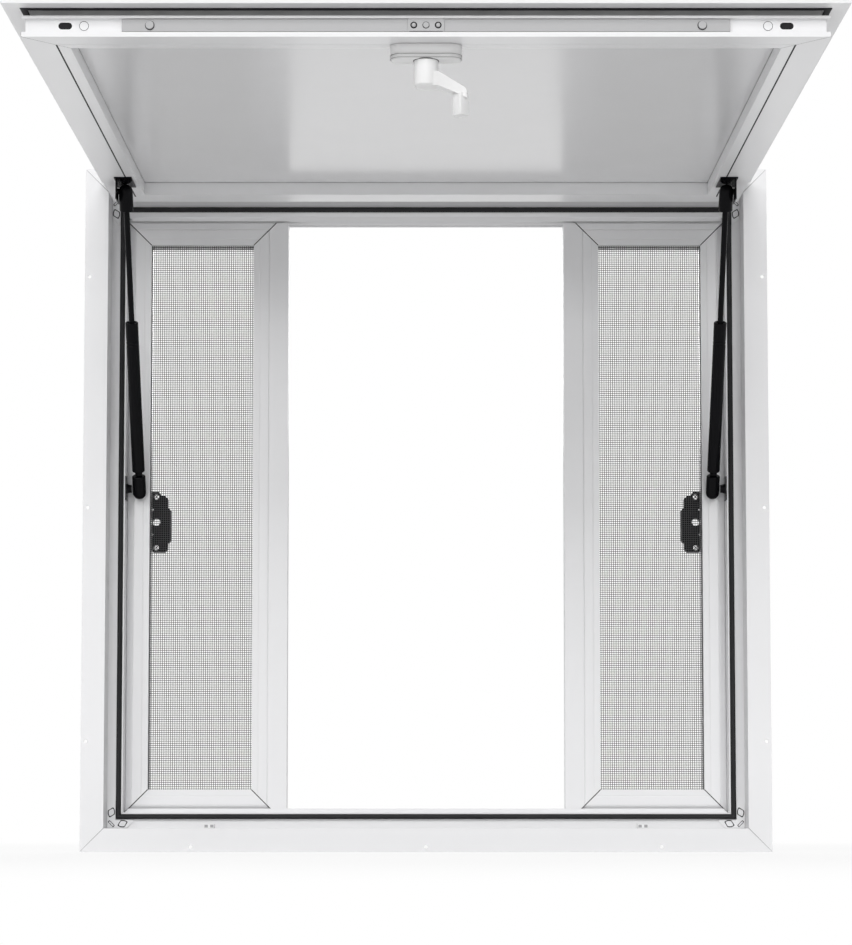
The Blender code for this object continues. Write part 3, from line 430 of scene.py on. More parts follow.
finishes = {
    "white_coat": powderCoat("whitePowderCoat", (0.82, 0.82, 0.83), 0.32),
    "panel_coat": powderCoat("panelSheet", (0.72, 0.72, 0.73), 0.20),
    "white_plastic": mouldedPlastic("whiteMoulding", (0.79, 0.79, 0.79), 0.36,
                                    grain=500.0, depth=0.2 * mm, shine=0.35),
    "bare_aluminium": brushedAluminium("anodisedBar", (0.34, 0.34, 0.345), 0.45),
    "black_rubber": extrudedRubber("gasketRubber", (0.020, 0.020, 0.021), 0.62),
    "black_paint": mouldedPlastic("strutPaint", (0.004, 0.004, 0.005), 0.14,
                                  grain=900.0, depth=0.05 * mm, shine=0.06),
    "black_plastic": mouldedPlastic("latchMoulding", (0.010, 0.010, 0.011), 0.42,
                                    grain=1100.0, depth=0.3 * mm, shine=0.1),
    "screen_wire": mouldedPlastic("screenWire", (0.06, 0.06, 0.063), 0.5,
                                  grain=900.0, depth=0.1 * mm, shine=0.3),
    # grey for painted shade in the door's groove, along the lock bar, the panel's edges and the handle base, and
    # for the flange's and the door rails' joint lines
    "channel_rubber": extrudedRubber("channelRubber", (0.27, 0.27, 0.272), 0.5),
}
print("finishes ready")


# CAD pieces with their sharp edges eased


easing = {
    "frame": 0.5 * mm,
    "frameMouth": 2.2 * mm,      # soft edge where the flange turns into the recess
    "fine": 0.3 * mm,
    "screen": 0.5 * mm,
    "door": 0.6 * mm,
    "bead": 0.15 * mm,
    "latch": 1.0 * mm,
    "bar": 0.4 * mm,
    "handle": 1.0 * mm,
    "segments": 2,
    "frameSegments": 3,
    "mergeAngle": 1.0,           # edges flatter than this are cleared, in degrees
    "edgeAngle": 38,             # edges sharper than this are eased
    "weld": 0.01 * mm,
    "planeWithin": 0.05 * mm,    # an edge this close to the flange's front plane lies on it
    "mouthInset": 5 * mm,
}


suffixes = {
    "white_coat": "coated",
    "panel_coat": "sheet",
    "white_plastic": "moulded",
    "bare_aluminium": "anodised",
    "black_rubber": "rubber",
    "black_paint": "painted",
    "black_plastic": "moulded",
    "screen_wire": "wire",
}
slotOf = {part["node"]: part["material_slot"] for part in frame["record"]["subparts"]}
bodyOf = {
    node: body
    for body, nodes in frame["record"]["behaviour"]["bodies"].items()
    for node in nodes
}


def easedCopy(node, radius, segments=easing["segments"], wide=None, wideRadius=0.0):
    # welds the loose triangles of a CAD piece, clears the flat edges and bevels the sharp ones,
    # with the wider radius where wide(edge) says so
    slot = slotOf[node]
    mesh = frame["nodes"][node].data.copy()
    shape = bmesh.new()
    shape.from_mesh(mesh)
    bmesh.ops.remove_doubles(shape, verts=shape.verts, dist=easing["weld"])
    flatness = math.radians(easing["mergeAngle"])
    bmesh.ops.dissolve_limit(shape, angle_limit=flatness, verts=shape.verts, edges=shape.edges)
    weight = shape.edges.layers.float.new("bevel_weight_edge")
    sharp = math.radians(easing["edgeAngle"])
    largest = max(radius, wideRadius)
    for edge in shape.edges:
        if len(edge.link_faces) == 2 and edge.calc_face_angle(0.0) > sharp:
            broad = wide is not None and wide(edge)
            edge[weight] = (wideRadius if broad else radius) / largest
            edge.smooth = False
    shape.to_mesh(mesh)
    shape.free()
    for face in mesh.polygons:
        face.use_smooth = True
    mesh.materials.clear()
    mesh.materials.append(finishes[slot])
    piece = bpy.data.objects.new(f"{node}_{suffixes[slot]}", mesh)
    bpy.context.scene.collection.objects.link(piece)
    ease = piece.modifiers.new("ease", "BEVEL")
    ease.limit_method = "WEIGHT"
    ease.width = largest
    ease.segments = segments
    ease.harden_normals = True
    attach(piece, bodyOf[node])
    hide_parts(node)


def easeFamily(words, radius):
    # every CAD piece whose name starts with one of the words
    for node in frame["nodes"]:
        if any(node.startswith(word) for word in words):
            easedCopy(node, radius)


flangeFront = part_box("frame_sill")[0].y


def recessMouth(edge):
    # the frame edges on the flange's front plane that lie inside its outer outline
    low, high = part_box("frame_jamb_left")[0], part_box("frame_jamb_right")[1]
    inset = easing["mouthInset"]
    return all(
        abs(vertex.co.y - flangeFront) < easing["planeWithin"]
        and low.x + inset < vertex.co.x < high.x - inset
        and low.z + inset < vertex.co.z < high.z - inset
        for vertex in edge.verts
    )


for node in ("frame_head", "frame_sill", "frame_jamb_left", "frame_jamb_right"):
    easedCopy(node, easing["frame"], easing["frameSegments"], recessMouth, easing["frameMouth"])
easeFamily(("corner_key", "lock_keeper"), easing["fine"])
easeFamily(("hinge_strip",), easing["bead"])
easeFamily(("door_skin", "door_panel", "door_rail_front", "door_rail_left", "door_rail_right"),
           easing["door"])
easeFamily(("door_rail_rear",), easing["bead"])
easeFamily(("latch",), easing["latch"])
easeFamily(("lock_bar", "strut_bracket", "strut_stud"), easing["bar"])
easeFamily(("handle_base", "handle_crank"), easing["handle"])
for row in ("front", "rear"):
    for side in ("left", "right"):
        for part in ("top_rail", "bottom_rail", "jamb_stile", "meeting_stile"):
            easeFamily((f"{row}_screen_{side}_{part}",), easing["screen"])
print("CAD pieces eased")


# Joint lines at the mitres, and painted shade along the door panel's edges


joints = {
    "screen": (1.3 * mm, 1.3 * mm),          # widths at the start and the end of a line
    "flange": (1.0 * mm, 0.5 * mm),
    "flangeReach": (33.5 * mm, 1.5 * mm),    # from the flange's corner to both ends of the line
    "rail": (0.85 * mm, 0.6 * mm),
    "panel": (1.2 * mm, 4.0 * mm, 1.2 * mm),     # painted shade along the panel's left, rear and right edge
    "proud": 0.06 * mm,
    "sunk": 0.3 * mm,
}


def jointLine(start, end, widths, normal):
    # a flat tapering strip just proud of the face with this normal
    side = np.cross(unit(end - start), normal)
    corners = [start + side * widths[0] / 2, end + side * widths[1] / 2,
               end - side * widths[1] / 2, start - side * widths[0] / 2]
    corners = np.array(corners)
    points = np.stack([corners - normal * joints["sunk"], corners + normal * joints["proud"]])
    return points, prismFaces(len(corners))


def buildScreenJoints(row, side):
    # every screen is mitred at 45 degrees; the line runs out from the corner of its opening
    name = f"{row}_screen_{side}"
    front = row == "front"
    normal = outward if front else -outward
    sign = -1 if side == "left" else 1
    jamb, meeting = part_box(f"{name}_jamb_stile"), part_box(f"{name}_meeting_stile")
    top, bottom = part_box(f"{name}_top_rail"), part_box(f"{name}_bottom_rail")
    face = jamb[0].y if front else jamb[1].y
    reach = jamb[1].x - jamb[0].x
    inner, other = (1, 0) if side == "left" else (0, 1)
    parts = []
    for x, out in ((jamb[inner].x, sign), (meeting[other].x, -sign)):
        for z, up in ((top[0].z, 1), (bottom[1].z, -1)):
            start = np.array((x, face, z))
            end = start + reach * np.array((out, 0, up))
            parts.append(jointLine(start, end, joints["screen"], normal))
    newPiece(f"{name}_joint_lines", *combined(parts), "black_rubber", "root")


def buildFrameJoints():
    low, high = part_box("frame_jamb_left")[0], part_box("frame_jamb_right")[1]
    mouth, tip = joints["flangeReach"]
    parts = []
    for x, inX in ((low.x, 1), (high.x, -1)):
        for z, inZ in ((low.z, 1), (high.z, -1)):
            inward = np.array((inX, 0, inZ))
            corner = np.array((x, flangeFront, z))
            parts.append(jointLine(corner + mouth * inward, corner + tip * inward,
                                   joints["flange"], outward))
    newPiece("frame_joint_lines", *combined(parts), "channel_rubber", "root")


def buildDoorJointsAndPanelShade():
    low, high = spanAlong("door_rail_front", hingeSpot, doorDown)[:2]
    face = spanAlong("door_rail_front", hingeSpot, -doorOut)[1]
    wide = high - low
    parts = []
    for sign in (-1, 1):
        outer = doorSpot(sign * doorHalf, face, high)
        inner = doorSpot(sign * (doorHalf - wide), face, low)
        parts.append(jointLine(outer, inner, joints["rail"], -doorOut))

    # painted shade along the panel's edge against the rear rail and the side rails
    face = spanAlong("door_panel", hingeSpot, -doorOut)[1]
    rear = spanAlong("door_rail_rear", hingeSpot, doorDown)[1]
    left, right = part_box("door_rail_left")[1].x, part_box("door_rail_right")[0].x
    corners = [doorSpot(left, face, low), doorSpot(left, face, rear),
               doorSpot(right, face, rear), doorSpot(right, face, low)]
    for start, end, width in zip(corners, corners[1:], joints["panel"]):
        parts.append(jointLine(start, end, (width, width), -doorOut))
    newPiece("door_joint_lines_and_panel_shade", *combined(parts), "channel_rubber", "door")


for row in ("front", "rear"):
    for side in ("left", "right"):
        buildScreenJoints(row, side)
buildFrameJoints()
buildDoorJointsAndPanelShade()
print("joint lines drawn")


# Gasket strips round the ledge


gasketLook = {
    "ease": 0.5 * mm,
    "easeSteps": 3,
    # across the strip from its outer edge, and the drop below its highest line, in millimetres
    "section": ((0, 3.2), (1.7, 2.0), (2.1, 0.2), (4.6, 0.2), (5.0, 2.0), (6.9, 3.2)),
    "seam": 0.15 * mm,
}


def buildGasket():
    low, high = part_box("gasket_left")[0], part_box("gasket_right")[1]
    tall = high.y - low.y
    crown = [(u * mm, tall - drop * mm) for u, drop in gasketLook["section"]]
    profile = eased([(0, 0), *crown, (crown[-1][0], 0)], gasketLook["ease"],
                    gasketLook["easeSteps"])
    corners = np.array([(low.x, high.y, low.z), (high.x, high.y, low.z),
                        (high.x, high.y, high.z), (low.x, high.y, high.z)])
    inward = (upright, -across, -upright, across)
    for count, part in enumerate(("sill", "right", "head", "left")):
        start, end = corners[count], corners[(count + 1) % 4]
        pull = gasketLook["seam"] * unit(end - start)
        points = mitredPoints(profile, start + pull, end - pull, inward[count], outward)
        faces = prismFaces(len(profile))
        piece = newPiece(f"gasket_{part}_strip", points, faces, "black_rubber", "root")
        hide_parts(f"gasket_{part}")


buildGasket()


# Crimped openings of the corner keys, with painted shade in the gap round each coin


keyLook = {
    "place": 22 * mm,        # middle of an opening from the outer corner
    "length": 15.2 * mm,
    "width": 10.4 * mm,
    "lean": 0.25,            # of the width: half of a hexagon's slanting corner
    "corner": 1.5 * mm,
    "line": 1.45 * mm,       # width of the dark ring of painted shade in the gap round the pressed-in coin
    "lineShare": (1.3, 0.2),     # how far the gap cuts into the length and the lean
    "shadeRingProud": 0.05 * mm,
    "coinProud": 0.09 * mm,
    "thick": 0.6 * mm,
    "clear": 0.3 * mm,       # between key and gasket
}
# grey patches of painted shade where each keeper's two holes fall dark
keeperLook = {
    "ends": ((0.06, 0.38), (0.62, 0.94)),    # along the keeper, as shares of its width
    "span": (0.15, 0.85),                    # across it
    "proud": 0.06 * mm,
    "thick": 0.4 * mm,
}


def keyOutlines(width, inset):
    # the three openings of a key, drawn smaller by the inset
    middle = width / 2
    lengthShare, leanShare = keyLook["lineShare"]
    half = keyLook["length"] / 2 - inset * lengthShare
    cross = keyLook["width"] / 2 - inset
    lean = keyLook["width"] * keyLook["lean"] - inset * leanShare
    place = keyLook["place"]
    hexagon = np.array([
        (place - half, middle - lean), (place - lean, middle - cross), (place + lean, middle - cross),
        (place + half, middle + lean), (place + lean, middle + cross), (place - lean, middle + cross),
    ])
    diagonal = np.array([
        (middle - cross, middle + lean), (middle - lean, middle + cross),
        (middle + cross, middle - lean), (middle + lean, middle - cross),
    ])
    return [easedRing(line, keyLook["corner"]) for line in (hexagon, hexagon[:, ::-1], diagonal)]


def buildKeyCrimps():
    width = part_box("gasket_left")[0].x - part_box("corner_key_top_left")[0].x - keyLook["clear"]
    thick = keyLook["thick"]
    for end, signZ in (("top", 1), ("bottom", -1)):
        for side, signX in (("left", -1), ("right", 1)):
            node = f"corner_key_{end}_{side}"
            low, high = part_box(node)
            spot = np.array((high.x if signX > 0 else low.x, low.y, high.z if signZ > 0 else low.z))
            axes = (-signX * across, -signZ * upright, -outward)
            shadeRings, coins = [], []
            # a black ring of painted shade where each opening's gap falls dark, and a white coin inside it
            for outer, coin in zip(keyOutlines(width, 0.0), keyOutlines(width, keyLook["line"])):
                ring = ringPoints(outer, coin, -keyLook["shadeRingProud"], thick, spot, *axes)
                shadeRings.append((ring, ringFaces(len(outer))))
                plate = prismPoints(coin, -keyLook["coinProud"], thick, spot, *axes)
                coins.append((plate, prismFaces(len(coin))))
            newPiece(f"{node}_crimp_shade", *combined(shadeRings), "black_rubber", "root")
            newPiece(f"{node}_coins", *combined(coins), "white_coat", "root")


def buildKeeperHoleShade():
    # painted shade: two grey patches on each lock keeper standing for its two dark holes, either side of its white
    # middle
    for side in ("left", "right"):
        low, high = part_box(f"lock_keeper_{side}")
        wide, tall = high.x - low.x, high.z - low.z
        spot = np.array((low.x, low.y, low.z))
        bottom, top = (share * tall for share in keeperLook["span"])
        parts = []
        for first, last in keeperLook["ends"]:
            outline = rectangle(first * wide, last * wide, bottom, top)
            points = prismPoints(outline, -keeperLook["proud"], keeperLook["thick"], spot,
                                 across, upright, -outward)
            parts.append((points, prismFaces(len(outline))))
        newPiece(f"lock_keeper_{side}_hole_shade", *combined(parts), "bare_aluminium", "root")


buildKeyCrimps()
buildKeeperHoleShade()
print("gasket and corner keys dressed")


# Small hardware on the latches and the door, with painted shade in its gaps and holes


latchLook = {
    "reach": 28 * mm,                # holes, in from the latch's outer edge
    "lift": 37 * mm,                 # holes, above and below its middle
    "web": (4.3 * mm, 0.45 * mm),    # half length and half thickness
    "sunk": 3 * mm,                  # behind the latch's face
    "deep": 1.25 * mm,               # towards the customer
}
barLook = {
    "screwOut": 13.3 * mm,           # screws beside the middle pin
    # their seat ring, painted shade in the countersink, and domed head: radius, and height over the plate, in
    # millimetres
    "screwSeatShade": ((2.5, 0), (3.7, 0), (3.7, 0.2), (3.4, 0.35), (2.5, 0.35), (2.5, 0)),
    "screwHead": ((0, 1.0), (2.2, 0.9), (2.5, 0.2), (2.5, -0.5)),
    "screwEase": 0.4 * mm,
    "studOut": 301 * mm,
    "studHeight": 2.5 * mm,          # over the bar
    # dark rings of painted shade in the gaps round the studs and the middle pin
    "studShadeRing": (4.4 * mm, 5.2 * mm),
    "pinShadeRing": (3.2 * mm, 3.8 * mm),
    "plateShade": (18.2 * mm, 0.6 * mm),  # painted shade along the plate's lower edge: half length, height
    "plateStep": 1.2 * mm,           # the middle plate's height over the bar
    "proud": 0.1 * mm,               # rings and plate shade, over what they lie on
    "line": 0.6 * mm,                # painted shade along the bar's edges, and its height over the band
    "edgeProud": 0.3 * mm,
}
bandLook = {
    "sunk": 4 * mm,                  # the band's face, in from the front rail's end
    "slotShadeOut": 393.5 * mm,         # black fillers of painted shade in the oval slots
    "slotShadeSize": (15 * mm, 7.6 * mm),
    "slotShadeDepth": (-2.0 * mm, -0.3 * mm),   # from the band's face
    "plugOut": 373 * mm,
    "plugRadius": 5.0 * mm,
    "plugLine": 0.45 * mm,
    "plugProud": 0.3 * mm,
}
sealLook = {
    "width": (-6 * mm, 1.5 * mm),    # lip under the hem, from the door's body outwards
    "depth": 0.8 * mm,
    "ease": 0.3 * mm,
    "clear": 0.05 * mm,              # under the hem
    "channelSink": 8.7 * mm,         # back wall of the groove under the hem, in from the body
    "channelTop": 7.6 * mm,          # the groove's height below the hem
    "channelThick": 0.5 * mm,
    "slitIn": 33.9 * mm,             # the slit in the side rails, from the side of the body
    "slitWidth": 1.9 * mm,
    "slitSunk": 0.3 * mm,
    "slitProud": 0.06 * mm,
}
handleLook = {
    "baseShadeLines": (1.4 * mm, 5.2 * mm),   # painted shade lines along the rounded lower edge, up from the base's lower face
    "lineWidth": 0.35 * mm,
    "linesProud": 0.05 * mm,         # out of the base's side, and into it
    "linesDeep": 1 * mm,
    "shaftGapShade": (13.0 * mm, 14.3 * mm),
    "shadeRingProud": 0.12 * mm,
    "steps": 24,
}


# where the lock bar and the band behind it lie on the door
barFace = spanAlong("lock_bar", hingeSpot, doorDown)[1] - barLook["studHeight"]
barLow, barHigh = spanAlong("lock_bar", hingeSpot, -doorOut)[:2]
barMiddle = (barLow + barHigh) / 2
bandFace = spanAlong("door_rail_front", hingeSpot, doorDown)[1] - bandLook["sunk"]


def buildLockScrews():
    # a black ring of painted shade in the countersink and a domed head on each side of the lock bar's middle pin
    seatShade = np.array(barLook["screwSeatShade"]) * mm
    button = eased(np.array(barLook["screwHead"]) * mm, barLook["screwEase"])
    for side, sign in (("left", -1), ("right", 1)):
        spot = doorSpot(sign * barLook["screwOut"], barMiddle, barFace + barLook["plateStep"])
        turnedPiece(f"lock_screw_{side}_seat_shade", seatShade, spot, doorDown, "black_plastic", "lock_bar")
        turnedPiece(f"lock_screw_{side}_head", button, spot, doorDown, "bare_aluminium", "lock_bar")


def buildLatchWebs():
    # thin crossed webs in each latch's two outer holes, with light all round them
    half, thin = latchLook["web"]
    section = rectangle(-thin, thin, 0, latchLook["deep"])
    for side, sign in (("left", -1), ("right", 1)):
        low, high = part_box(f"latch_{side}")
        x = sign * (max(abs(low.x), abs(high.x)) - latchLook["reach"])
        arms = []
        for lift in (latchLook["lift"], -latchLook["lift"]):
            spot = np.array((x, low.y + latchLook["sunk"], (low.z + high.z) / 2 + lift))
            for turn in (1, -1):
                along = unit(across + turn * upright)
                arms.append(straightStrip(section, spot - half * along, spot + half * along,
                                          np.cross(along, outward), outward))
        newPiece(f"latch_{side}_webs", *combined(arms), "black_plastic", "root")


def buildBarShade():
    # painted shade: dark rings in the gaps round the bar's two studs and middle pin, a dark line under the middle
    # plate, and grey lines along its edges on the band
    for count, (sign, gap) in enumerate(((-1, "studShadeRing"), (1, "studShadeRing"), (0, "pinShadeRing"))):
        ring = flatRing(*barLook[gap], barLook["proud"])
        level = barFace if sign else barFace + barLook["plateStep"]
        spot = doorSpot(sign * barLook["studOut"], barMiddle, level)
        turnedPiece(f"lock_bar_shade_ring_{count}", ring, spot, doorDown, "black_plastic", "lock_bar")
    half, line = barLook["plateShade"]
    ends = [doorSpot(sign * half, barHigh - line, barFace + barLook["plateStep"]) for sign in (-1, 1)]
    strip = straightStrip(rectangle(0, line, 0, barLook["proud"]), *ends, -doorOut, doorDown)
    newPiece("lock_bar_plate_shade", *strip, "black_plastic", "lock_bar")
    left, right = (corner.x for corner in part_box("lock_bar"))
    section = rectangle(0, barLook["line"], 0, barLook["edgeProud"])
    parts = []
    for edge in (barLow - barLook["line"], barHigh):
        start, end = doorSpot(left, edge, bandFace), doorSpot(right, edge, bandFace)
        parts.append(straightStrip(section, start, end, -doorOut, doorDown))
    newPiece("lock_bar_edge_shade", *combined(parts), "channel_rubber", "door")


def buildBandDetails():
    # black fillers with round ends, painted shade deep in the band's oval slots, and the ring round each plug
    outline = stadium(*bandLook["slotShadeSize"])
    radius, half = bandLook["plugRadius"], bandLook["plugLine"] / 2
    ring = flatRing(radius - half, radius + half, bandLook["plugProud"])
    for side, sign in (("left", -1), ("right", 1)):
        spot = doorSpot(sign * bandLook["slotShadeOut"], barMiddle, bandFace)
        points = prismPoints(outline, *bandLook["slotShadeDepth"], spot, across, -doorOut, doorDown)
        newPiece(f"band_slot_shade_{side}", points, prismFaces(len(outline)), "black_plastic", "door")
        spot = doorSpot(sign * bandLook["plugOut"], barMiddle, bandFace)
        turnedPiece(f"band_plug_{side}_line", ring, spot, doorDown, "black_plastic", "door")


def buildHandleShade():
    # painted shade: two grey lines along the base's rounded lower edge, and a dark ring in the gap where the shaft
    # enters it
    low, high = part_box("handle_base")
    length = high.x - low.x
    start, end = spanAlong("handle_base", hingeSpot, doorDown)[:2]
    top = spanAlong("handle_base", hingeSpot, -doorOut)[1]
    width = end - start
    proud, half = 2 * handleLook["linesProud"], handleLook["lineWidth"] / 2
    deep, steps = 2 * handleLook["linesDeep"], handleLook["steps"]
    outer = stadium(length + proud, width + proud, steps)
    inner = stadium(length - deep, width - deep, steps)
    parts = []
    for place in handleLook["baseShadeLines"]:
        spot = doorSpot((low.x + high.x) / 2, top - place, (start + end) / 2)
        ring = ringPoints(outer, inner, -half, half, spot, across, doorDown, -doorOut)
        parts.append((ring, ringFaces(len(outer))))
    newPiece("handle_base_shade_lines", *combined(parts), "channel_rubber", "door")
    axis = np.array(jointNamed("handle_turn")["pos_m"], float)
    axis = axis + ((axis - hingeSpot) @ -doorOut - top) * doorOut
    # a dark ring of painted shade in the gap round the shaft
    gap = flatRing(*handleLook["shaftGapShade"], handleLook["shadeRingProud"])
    turnedPiece("handle_shaft_gap_shade", gap, axis, -doorOut, "black_rubber", "door")


def doorEdging(name, section, finish):
    # one mitred strip along each side and the front of the door's body, its section given
    # outwards from the body and inwards from the hem
    bodyEnd = spanAlong("door_rail_front", hingeSpot, doorDown)[1]
    bodyStart = spanAlong("door_rail_left", hingeSpot, doorDown)[0]
    hem = spanAlong("door_skin", hingeSpot, -doorOut)[1] + sealLook["clear"]
    profile = np.array(section)
    corner = {sign: doorSpot(sign * doorHalf, hem, bodyEnd) for sign in (-1, 1)}
    rear = {sign: doorSpot(sign * doorHalf, hem, bodyStart) for sign in (-1, 1)}
    front = mitredPoints(profile, corner[-1], corner[1], doorDown, -doorOut, -1.0)
    parts = [(front, prismFaces(len(profile)))]
    for sign in (-1, 1):
        side = sign * across
        points = mitredPoints(profile, corner[sign], rear[sign], side, -doorOut, -1.0)
        points[1] = rear[sign] + profile[:, :1] * side - profile[:, 1:] * doorOut    # cut square
        parts.append((points, prismFaces(len(profile))))
    newPiece(name, *combined(parts), finish, "door")


def buildDoorLipAndGrooveShade():
    # the dark lip under the hem, and a grey strip of painted shade on the back wall of the groove behind it
    lip = easedRing(rectangle(*sealLook["width"], 0, sealLook["depth"]), sealLook["ease"])
    doorEdging("door_edge_lip", lip, "black_rubber")
    sink = -sealLook["channelSink"]
    grooveShade = rectangle(sink, sink + sealLook["channelThick"], 0, sealLook["channelTop"])
    doorEdging("door_channel_shade", grooveShade, "channel_rubber")


def buildRailSlitShade():
    # a black strip of painted shade in the long slit of each side rail
    face = spanAlong("door_rail_left", hingeSpot, -doorOut)[1]
    first, last = spanAlong("door_rail_left", hingeSpot, doorDown)[:2]
    inset, half = sealLook["slitIn"], sealLook["slitWidth"] / 2
    section = rectangle(-half, half, -sealLook["slitSunk"], sealLook["slitProud"])
    parts = []
    for sign in (-1, 1):
        line = sign * (doorHalf - inset)
        start, end = doorSpot(line, face, first + inset), doorSpot(line, face, last - inset)
        parts.append(straightStrip(section, start, end, across, -doorOut))
    newPiece("rail_slit_shade", *combined(parts), "black_rubber", "door")


buildLockScrews()
buildLatchWebs()
buildBarShade()
buildBandDetails()
buildDoorLipAndGrooveShade()
buildRailSlitShade()
buildHandleShade()
print("door hardware fitted")


# Woven wire in the four screens


wireCloth = {
    "pitch": 3.1 * mm,           # of the front row
    "radius": 0.40 * mm,
    "sides": 6,
    "weave": 0.5,                # of the radius: how far the two directions stand apart
    "smoothAngle": 50,
}


def wireRow(offset, start, end, depth, standing):
    # straight wires with a few sides: ring points at both ends of every wire, all in one array
    sides = wireCloth["sides"]
    count = len(offset)
    angle = np.arange(sides) * 2 * math.pi / sides
    ends = np.array([start, end])
    aside = offset[:, None, None] + wireCloth["radius"] * np.cos(angle)[None, None]
    deep = depth + wireCloth["radius"] * np.sin(angle)[None, None]
    aside, deep, along = np.broadcast_arrays(aside, deep, ends[None, :, None])
    order = (aside, deep, along) if standing else (along, deep, aside)
    points = np.stack(order, -1).reshape(-1, 3)
    tube = gridFaces(2, sides, wrapColumns=True)
    caps = np.stack([np.arange(sides), np.arange(sides) + sides])
    shift = np.arange(count) * 2 * sides
    tubes = (tube[None] + shift[:, None, None]).reshape(-1, 4).tolist()
    lids = (caps[None] + shift[:, None, None]).reshape(-1, sides).tolist()
    return points, tubes + lids


def wirePlaces(low, high, centre, pitch):
    # every place centre + k * pitch, k whole, whose wire lies between low and high
    radius = wireCloth["radius"]
    first = math.ceil((low + radius - centre) / pitch)
    last = math.floor((high - radius - centre) / pitch)
    return centre + np.arange(first, last + 1) * pitch


def buildWireCloth(row, side):
    # the rear row's pitch is wider by its distance, so that from the photograph's viewpoint the
    # wires of both rows line up and do not beat
    node = f"{row}_screen_{side}_mesh"
    low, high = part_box(node)
    eyeY, eyeZ = photoEye[1:]
    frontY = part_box(f"front_screen_{side}_mesh")[0].y
    pitch = wireCloth["pitch"] * (low.y - eyeY) / (frontY - eyeY)
    apart = wireCloth["weave"] * wireCloth["radius"]
    middle = (low.y + high.y) / 2
    uprights = wirePlaces(low.x, high.x, 0.0, pitch)
    levels = wirePlaces(low.z, high.z, eyeZ, pitch)
    parts = [
        wireRow(uprights, low.z, high.z, middle - apart, True),
        wireRow(levels, low.x, high.x, middle + apart, False),
    ]
    piece = newPiece(f"{row}_screen_{side}_wire_cloth", *combined(parts), "screen_wire", "root",
                     wireCloth["smoothAngle"])
    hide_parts(node)


for row in ("front", "rear"):
    for side in ("left", "right"):
        buildWireCloth(row, side)
print("wire cloth woven")


# Gas struts as turned pieces


strutLook = {
    "segments": 56,
    "socketEase": 3.0 * mm,
    "socketSteps": 5,
    "domeSteps": 12,
    "mouthShare": 0.55,          # of the socket's radius: where the rod enters it
    "rodRadius": 4 * mm,
    "rodSegments": 32,
    "rodGap": 0.1 * mm,
    "cylinderEase": 1.6 * mm,
    "grooves": (27 * mm, 32 * mm),
    "grooveDepth": 0.6 * mm,
    "grooveHalf": 0.9 * mm,
    "grooveFloor": 0.4,          # of the half width
    "glandRadius": 6.2 * mm,
    "glandSink": 1.6 * mm,
    "glandLip": 0.6 * mm,
    "neckRadius": 5.2 * mm,
    "neckLength": 5 * mm,
}


def domedBarrel(radius, top, bottom, mouth):
    # a hemisphere of the barrel's radius over a straight side, with an eased mouth at the far end
    turn = np.linspace(0, math.pi / 2, strutLook["domeSteps"] + 1)
    dome = np.stack([radius * np.sin(turn), top - radius + radius * np.cos(turn)], 1)
    foot = eased([dome[-1], (radius, bottom), (mouth, bottom)],
                 strutLook["socketEase"], strutLook["socketSteps"])
    return np.vstack([dome, foot[1:], [(0, bottom)]])


def cylinderProfile(low, high, radius):
    # gland, two grooves, body and neck from the rod's end downwards, as radius and height
    look = strutLook
    inner, sink, half = look["rodRadius"] + look["rodGap"], look["glandSink"], look["grooveHalf"]
    floor, depth = half * look["grooveFloor"], radius - look["grooveDepth"]
    grooves = []
    for place in look["grooves"]:
        middle = high - place
        grooves += [(radius, middle + half), (depth, middle + floor),
                    (depth, middle - floor), (radius, middle - half)]
    gland, neck = look["glandRadius"], look["neckRadius"]
    bodyEnd = low + look["neckLength"]
    return eased(
        [(inner, high - 2 * sink), (inner, high - sink), (gland - look["glandLip"], high - sink),
         (gland, high), (radius, high), *grooves,
         (radius, bodyEnd + look["cylinderEase"]), (neck, bodyEnd), (neck, low), (0, low)],
        look["cylinderEase"])


def buildStrut(side):
    pivot = np.array(jointNamed(f"strut_{side}_swing")["pos_m"], float)
    upward = unit(jointNamed(f"strut_{side}_stroke")["axis"])
    prefix = f"strut_{side}"

    def turnedNode(part, body, profile, segments=strutLook["segments"]):
        piece = turnedPiece(f"{prefix}_{part}_painted", profile, pivot, upward,
                            "black_paint", f"{body}_{side}", segments)
        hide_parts(f"{prefix}_{part}")

    low, barrel = spanAlong(f"{prefix}_top_socket", pivot, upward)[:2]
    turnedNode("top_socket", "rod", domedBarrel(barrel, barrel, low, barrel * strutLook["mouthShare"]))
    low, high = spanAlong(f"{prefix}_bottom_socket", pivot, upward)[:2]
    profile = domedBarrel(barrel, 0, low - high, strutLook["neckRadius"])
    profile[:, 1] = low - profile[:, 1]
    turnedNode("bottom_socket", "cylinder", profile)

    low, high = spanAlong(f"{prefix}_rod", pivot, upward)[:2]
    radius = strutLook["rodRadius"]
    turnedNode("rod", "rod", [(0, high), (radius, high), (radius, low), (0, low)],
               strutLook["rodSegments"])
    turnedNode("cylinder", "cylinder", cylinderProfile(*spanAlong(f"{prefix}_cylinder", pivot, upward)))


for side in ("left", "right"):
    buildStrut(side)
print("struts turned")


# Studio and camera


